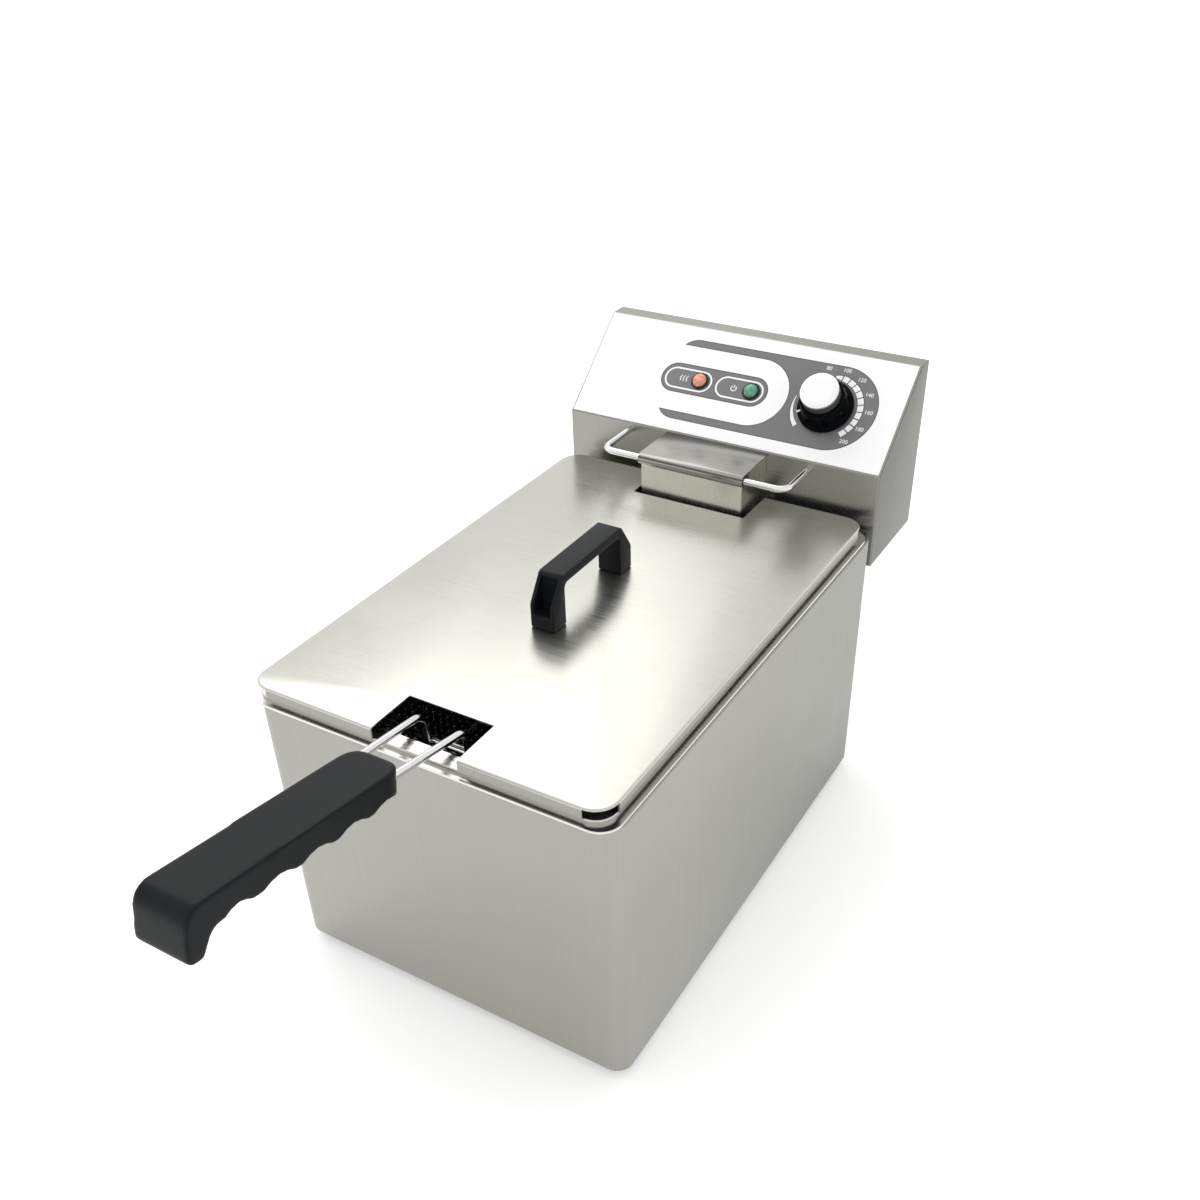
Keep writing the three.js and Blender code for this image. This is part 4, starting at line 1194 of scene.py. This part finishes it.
class FRYER_OT_knob(bpy.types.Operator):
    """Skirted thermostat knob with finger flutes, a bright cap and a pointer"""

    bl_idname = "fryer.knob"
    bl_label = "Knob"

    def execute(self, context):
        kit = finish_set()
        base = FILM_FACE + 0.6 * MM
        out = 21.5 * MM
        skirt = turned("knob_skirt", [
            (out - 0.5 * MM, base), (out, base + 0.6 * MM), (out, base + 2.8 * MM),
            (out - 0.6 * MM, base + 3.6 * MM), (out - 2.6 * MM, base + 4.4 * MM),
            (out - 3.4 * MM, base + 5.8 * MM), (out - 4.6 * MM, base + 15.6 * MM),
            (out - 5.0 * MM, base + 16.6 * MM), (out - 6.0 * MM, base + 17.2 * MM),
        ], 96)
        flutes, flute_radius, lean = 8, 5.2 * MM, 0.97
        reach = out + 1.6 * MM
        cutters = []
        for i in range(flutes):
            turn = (i + 0.5) * math.tau / flutes
            x, y = reach * math.cos(turn), reach * math.sin(turn)
            cutters.append(post("flute", flute_radius, (x, y, base + 4.2 * MM),
                                (x * lean, y * lean, base + 22 * MM), 32))
        cut(skirt, *cutters)
        eased(skirt, 0.5 * MM, 2, 40)
        place = TILT @ Matrix.Translation((DIAL_X, DIAL_UP, 0))
        moved(smoothed(skirt, 40), place)
        finish_piece(skirt, kit.knob, "knob", "knob_body", slot="black_plastic")

        rise = base + 17.4 * MM
        radius = 15 * MM
        cap = turned("knob_disc", [
            (radius - 0.4 * MM, rise - 1.2 * MM), (radius, rise - 0.8 * MM), (radius, rise),
            (radius - 0.3 * MM, rise + 0.6 * MM), (radius - 0.3 * MM, KNOB_TOP - 1 * MM),
            (radius - 0.6 * MM, KNOB_TOP - 0.3 * MM), (radius - 1.1 * MM, KNOB_TOP),
            (radius - 6 * MM, KNOB_TOP - 0.1 * MM),
        ], 96)
        moved(smoothed(cap, 35), place)
        finish_piece(cap, kit.cap, "knob", "knob_cap", slot="knob_silver")

        aim = Matrix.Rotation(math.radians(207), 4, "Z")
        half = 0.8 * MM
        pointer = block("knob_pointer", (out - 3.0 * MM, -half, base + 3.2 * MM),
                        (out + 0.05 * MM, half, base + 4.3 * MM))
        eased(pointer, 0.2 * MM, 2)
        moved(smoothed(pointer), place @ aim)
        finish_piece(pointer, kit.mark, "knob", slot="knob_silver")
        return {"FINISHED"}


class FRYER_OT_lamps(bpy.types.Operator):
    """Two pilot lamps, each a dark bezel and a domed lens"""

    bl_idname = "fryer.lamps"
    bl_label = "Lamps"

    def execute(self, context):
        kit = finish_set()
        for name, (x, up) in LAMPS.items():
            place = TILT @ Matrix.Translation((x, up, 0))
            base = FILM_FACE + 0.05 * MM
            rim, glass, crown = 7.0 * MM, 5.65 * MM, 2.8 * MM
            bezel = turned(f"{name}_bezel", [
                (rim, base), (rim, base + 1.0 * MM), (rim - 0.4 * MM, base + 1.5 * MM),
                (rim - 1.1 * MM, base + 1.6 * MM), (rim - 1.3 * MM, base + 1.0 * MM)], 48)
            moved(smoothed(bezel, 35), place)
            finish_piece(bezel, kit.bezel, "head", slot="black_plastic")
            spring = base + 1.5 * MM
            dome = [(glass, base + 0.4 * MM), (glass, spring)]
            for step in range(1, 7):
                turn = step * math.radians(14)
                dome.append((glass * math.cos(turn), spring + crown * math.sin(turn)))
            lens = turned(f"{name}_dome", dome, 48)
            moved(smoothed(lens, 50), place)
            material = kit.amber if name == "heat" else kit.green
            slot = "amber_lens" if name == "heat" else "green_lens"
            finish_piece(lens, material, "head", f"{name}_lamp_lens", slot=slot)
        return {"FINISHED"}


class FRYER_OT_element_box(bpy.types.Operator):
    """Element box and the top cover that curls round the rail"""

    bl_idname = "fryer.element_box"
    bl_label = "Element box"

    def execute(self, context):
        kit = finish_set()
        low, high = ELEMENT_BOX
        leg_rear = low.y + 17 * MM
        duct = CASE[1].z + 6 * MM
        under_nose = ELEMENT_COVER[0].z - 0.3 * MM
        behind_nose = low.y + 12 * MM
        corner = 1.5 * MM
        outline = [
            (low.y, low.z, corner), (leg_rear, low.z, corner), (leg_rear, duct), (high.y, duct),
            (high.y, high.z), (behind_nose, high.z), (behind_nose, under_nose),
            (low.y, under_nose),
        ]
        body = traced("element_case", outline, low.x, high.x, 3)
        round_edges(body, lambda edge: edge_at(Y, low.y)(edge) and edge_along(Z)(edge), 1.2 * MM, 3)
        smoothed(body, 30)
        finish_piece(body, kit.box, "head", "element_box", slot="case_steel")

        low, high = ELEMENT_COVER
        radius = (high.z - low.z) / 2
        sheet, steps, stride = 1 * MM, 12, 14
        curl = []
        for reach in (radius, radius - sheet):
            turns = [math.radians(90 + stride * i) for i in range(steps + 1)]
            curl.append([(low.y + radius + reach * math.cos(turn),
                          high.z - radius + reach * math.sin(turn)) for turn in turns])
        outline = [(high.y, high.z), *curl[0], *reversed(curl[1]), (high.y, high.z - sheet)]
        cover = traced("rail_clasp", outline, low.x, high.x)
        eased(cover, 0.25 * MM, 2, 40)
        smoothed(cover, 30)
        finish_piece(cover, kit.cover, "head", "element_cover", slot="tank_steel")
        return {"FINISHED"}


class FRYER_OT_rail(bpy.types.Operator):
    """Chrome rail that the raised basket hangs on"""

    bl_idname = "fryer.rail"
    bl_label = "Basket rail"

    def execute(self, context):
        low, high = RAIL
        radius = (high.z - low.z) / 2
        level = (high.z + low.z) / 2
        x, front = high.x - radius, low.y + radius
        points = [(-x, high.y, level), (-x, front, level), (x, front, level), (x, high.y, level)]
        rail = wire("hanging_rail", points, radius, 9 * MM, steps=10, ring=6)
        finish_piece(rail, finish_set().chrome, "head", "basket_rail", slot="chrome_wire")
        return {"FINISHED"}


class FRYER_OT_elements(bpy.types.Operator):
    """Two smooth heating loops"""

    bl_idname = "fryer.elements"
    bl_label = "Heating elements"

    def execute(self, context):
        for side, name in ((-1, "left"), (1, "right")):
            low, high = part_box(f"heating_element_{name}")
            radius = 3.5 * MM
            inner = side * 12 * MM
            back = side * 32 * MM
            outer = side * (max(abs(low.x), abs(high.x)) - radius)
            level = low.z + radius
            front, rear = low.y + radius, high.y - radius
            shoulder = rear - 28 * MM
            points = [
                (inner, rear, high.z), (inner, rear, level), (inner, front, level),
                (outer, front, level), (outer, shoulder, level), (back, shoulder, level),
                (back, rear, level), (back, rear, high.z),
            ]
            loop = wire(f"element_loop_{name}", points, radius, 13 * MM, steps=10, ring=5)
            finish_piece(loop, finish_set().sheath, "head", f"heating_element_{name}",
                         slot="element_sheath")
        return {"FINISHED"}


class FRYER_OT_basket(bpy.types.Operator):
    """Wire-mesh basket with its rim rod and hooks"""

    bl_idname = "fryer.basket"
    bl_label = "Basket"

    def execute(self, context):
        sizes = context.scene.fryer_sizes
        kit = finish_set()
        self.mesh_body(sizes, kit)
        self.rim(kit)
        self.hooks(kit)
        return {"FINISHED"}

    def mesh_body(self, sizes, kit):
        inset = Vector.Fill(3, sizes.mesh_wire / 2)
        low, high = BASKET[0] + inset, BASKET[1] - inset
        body = tablet("basket_mesh", low, high, 20 * MM, 4)
        round_edges(body, edge_at(Z, low.z), 8 * MM, 3)
        drop_faces(body, facing(Z, 1))
        with editing(body):
            for axis in range(3):
                count = round((high[axis] - low[axis]) / sizes.mesh_pitch)
                normal = [0, 0, 0]
                normal[axis] = 1
                for i in range(1, count):
                    place = list(low)
                    place[axis] = low[axis] + i * (high[axis] - low[axis]) / count
                    bpy.ops.mesh.select_all(action="SELECT")
                    bpy.ops.mesh.bisect(plane_co=place, plane_no=normal)
        modified(body, "WIREFRAME", thickness=sizes.mesh_wire, use_even_offset=False,
                 use_boundary=True, use_replace=True)
        finish_piece(smoothed(body, 80), kit.chrome, "basket", "fry_basket", slot="chrome_wire")

    def rim(self, kit):
        rod = rod_round("basket_rod", *RIM, (RIM[1].z - RIM[0].z) / 2, 24 * MM)
        finish_piece(rod, kit.chrome, "basket", "basket_rim", slot="chrome_wire")

    def hooks(self, kit):
        for name in ("left", "right"):
            low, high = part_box(f"basket_hook_{name}")
            x = (low.x + high.x) / 2
            radius = (high.x - low.x) / 2
            y0, y1 = low.y + radius, high.y - radius
            top = high.z - radius
            points = [(x, y0, low.z), (x, y0, top), (x, y1, top), (x, y1, top - 14 * MM)]
            hook = wire(f"hook_{name}", points, radius, 7.5 * MM)
            finish_piece(hook, kit.chrome, "basket", f"basket_hook_{name}", slot="chrome_wire")


class FRYER_OT_grip(bpy.types.Operator):
    """Two fork wires and the long moulded grip"""

    bl_idname = "fryer.grip"
    bl_label = "Basket grip"

    def execute(self, context):
        kit = finish_set()
        held = 40 * MM
        for side, name in ((-1, "left"), (1, "right")):
            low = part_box(f"fork_wire_{name}")[0]
            x = side * WIRE_X
            end = ALONG_GRIP @ Vector((side * WIRE_END_X, -GRIP_START - held, 0))
            points = [(x, WIRE_TURN.y, low.z), (x, WIRE_TURN.y, WIRE_TURN.z), tuple(end)]
            fork = wire(f"fork_{name}", points, WIRE_RADIUS, 10 * MM, steps=10, ring=6)
            finish_piece(fork, kit.chrome, "basket", f"fork_wire_{name}", slot="chrome_wire")

        half, top, low = 18 * MM, 6 * MM, -13 * MM
        start, end = -GRIP_START, -GRIP_END
        tail = low - 14 * MM
        outline = [
            (start, low, 5 * MM), (start, top, 4 * MM), (end + 1 * MM, top - 1 * MM, 11 * MM),
            (end - 1 * MM, tail + 1 * MM, 4 * MM), (end + 9 * MM, tail, 4 * MM),
            (end + 16 * MM, low, 8 * MM),
        ]
        grip = traced("hand_grip", outline, -half, half, 5)
        plan = tablet("grip_plan", (-half - 0.02 * MM, end - 30 * MM, tail - 5 * MM),
                      (half + 0.02 * MM, start - 0.05 * MM, top + 5 * MM), 13 * MM, 8)
        cut(grip, plan, operation="INTERSECT")
        hollows = []
        first, pitch, deep = start - 15.5 * MM, 27 * MM, 3.2 * MM
        for i, millimetres in enumerate((18, 20, 20, 20, 13)):
            y = first - i * pitch
            radius = millimetres * MM
            centre = low + deep - radius
            hollows.append(post("finger", radius, (-30 * MM, y, centre), (30 * MM, y, centre), 64))
        cut(grip, *hollows)
        # Fine even faces, worn down, give every edge of the moulding the same soft rounding.
        modified(grip, "REMESH", mode="VOXEL", voxel_size=0.9 * MM)
        modified(grip, "SMOOTH", factor=0.5, iterations=26)
        moved(smoothed(grip, 50), ALONG_GRIP)
        finish_piece(grip, kit.grip, "basket", "basket_grip", slot="black_plastic")
        return {"FINISHED"}


class FRYER_PT_panel(bpy.types.Panel):
    """The fryer's pieces, sizes and colours"""

    bl_label = "Deep Fryer"
    bl_idname = "FRYER_PT_panel"
    bl_space_type = "VIEW_3D"
    bl_region_type = "UI"
    bl_category = "Fryer"

    def draw(self, context):
        for operator in OPERATORS:
            self.layout.operator(operator.bl_idname)
        for group in (context.scene.fryer_sizes, context.scene.fryer_colours):
            for key in group.__annotations__:
                self.layout.prop(group, key)


OPERATORS = (
    FRYER_OT_stage,
    FRYER_OT_cad_finishes,
    FRYER_OT_case,
    FRYER_OT_tank,
    FRYER_OT_lid,
    FRYER_OT_lid_handle,
    FRYER_OT_head,
    FRYER_OT_fascia,
    FRYER_OT_knob,
    FRYER_OT_lamps,
    FRYER_OT_element_box,
    FRYER_OT_rail,
    FRYER_OT_elements,
    FRYER_OT_basket,
    FRYER_OT_grip,
)
CLASSES = (FryerSizes, FryerColours, *OPERATORS, FRYER_PT_panel)


def register():
    for cls in CLASSES:
        bpy.utils.register_class(cls)
    bpy.types.Scene.fryer_sizes = bpy.props.PointerProperty(type=FryerSizes)
    bpy.types.Scene.fryer_colours = bpy.props.PointerProperty(type=FryerColours)


def unregister():
    del bpy.types.Scene.fryer_colours
    del bpy.types.Scene.fryer_sizes
    for cls in reversed(CLASSES):
        bpy.utils.unregister_class(cls)


def main():
    register()
    bpy.ops.fryer.stage()
    bpy.ops.fryer.cad_finishes()
    bpy.ops.fryer.case()
    bpy.ops.fryer.tank()
    bpy.ops.fryer.lid()
    bpy.ops.fryer.lid_handle()
    bpy.ops.fryer.head()
    bpy.ops.fryer.fascia()
    bpy.ops.fryer.knob()
    bpy.ops.fryer.lamps()
    bpy.ops.fryer.element_box()
    bpy.ops.fryer.rail()
    bpy.ops.fryer.elements()
    bpy.ops.fryer.basket()
    bpy.ops.fryer.grip()


if __name__ == "__main__":
    main()
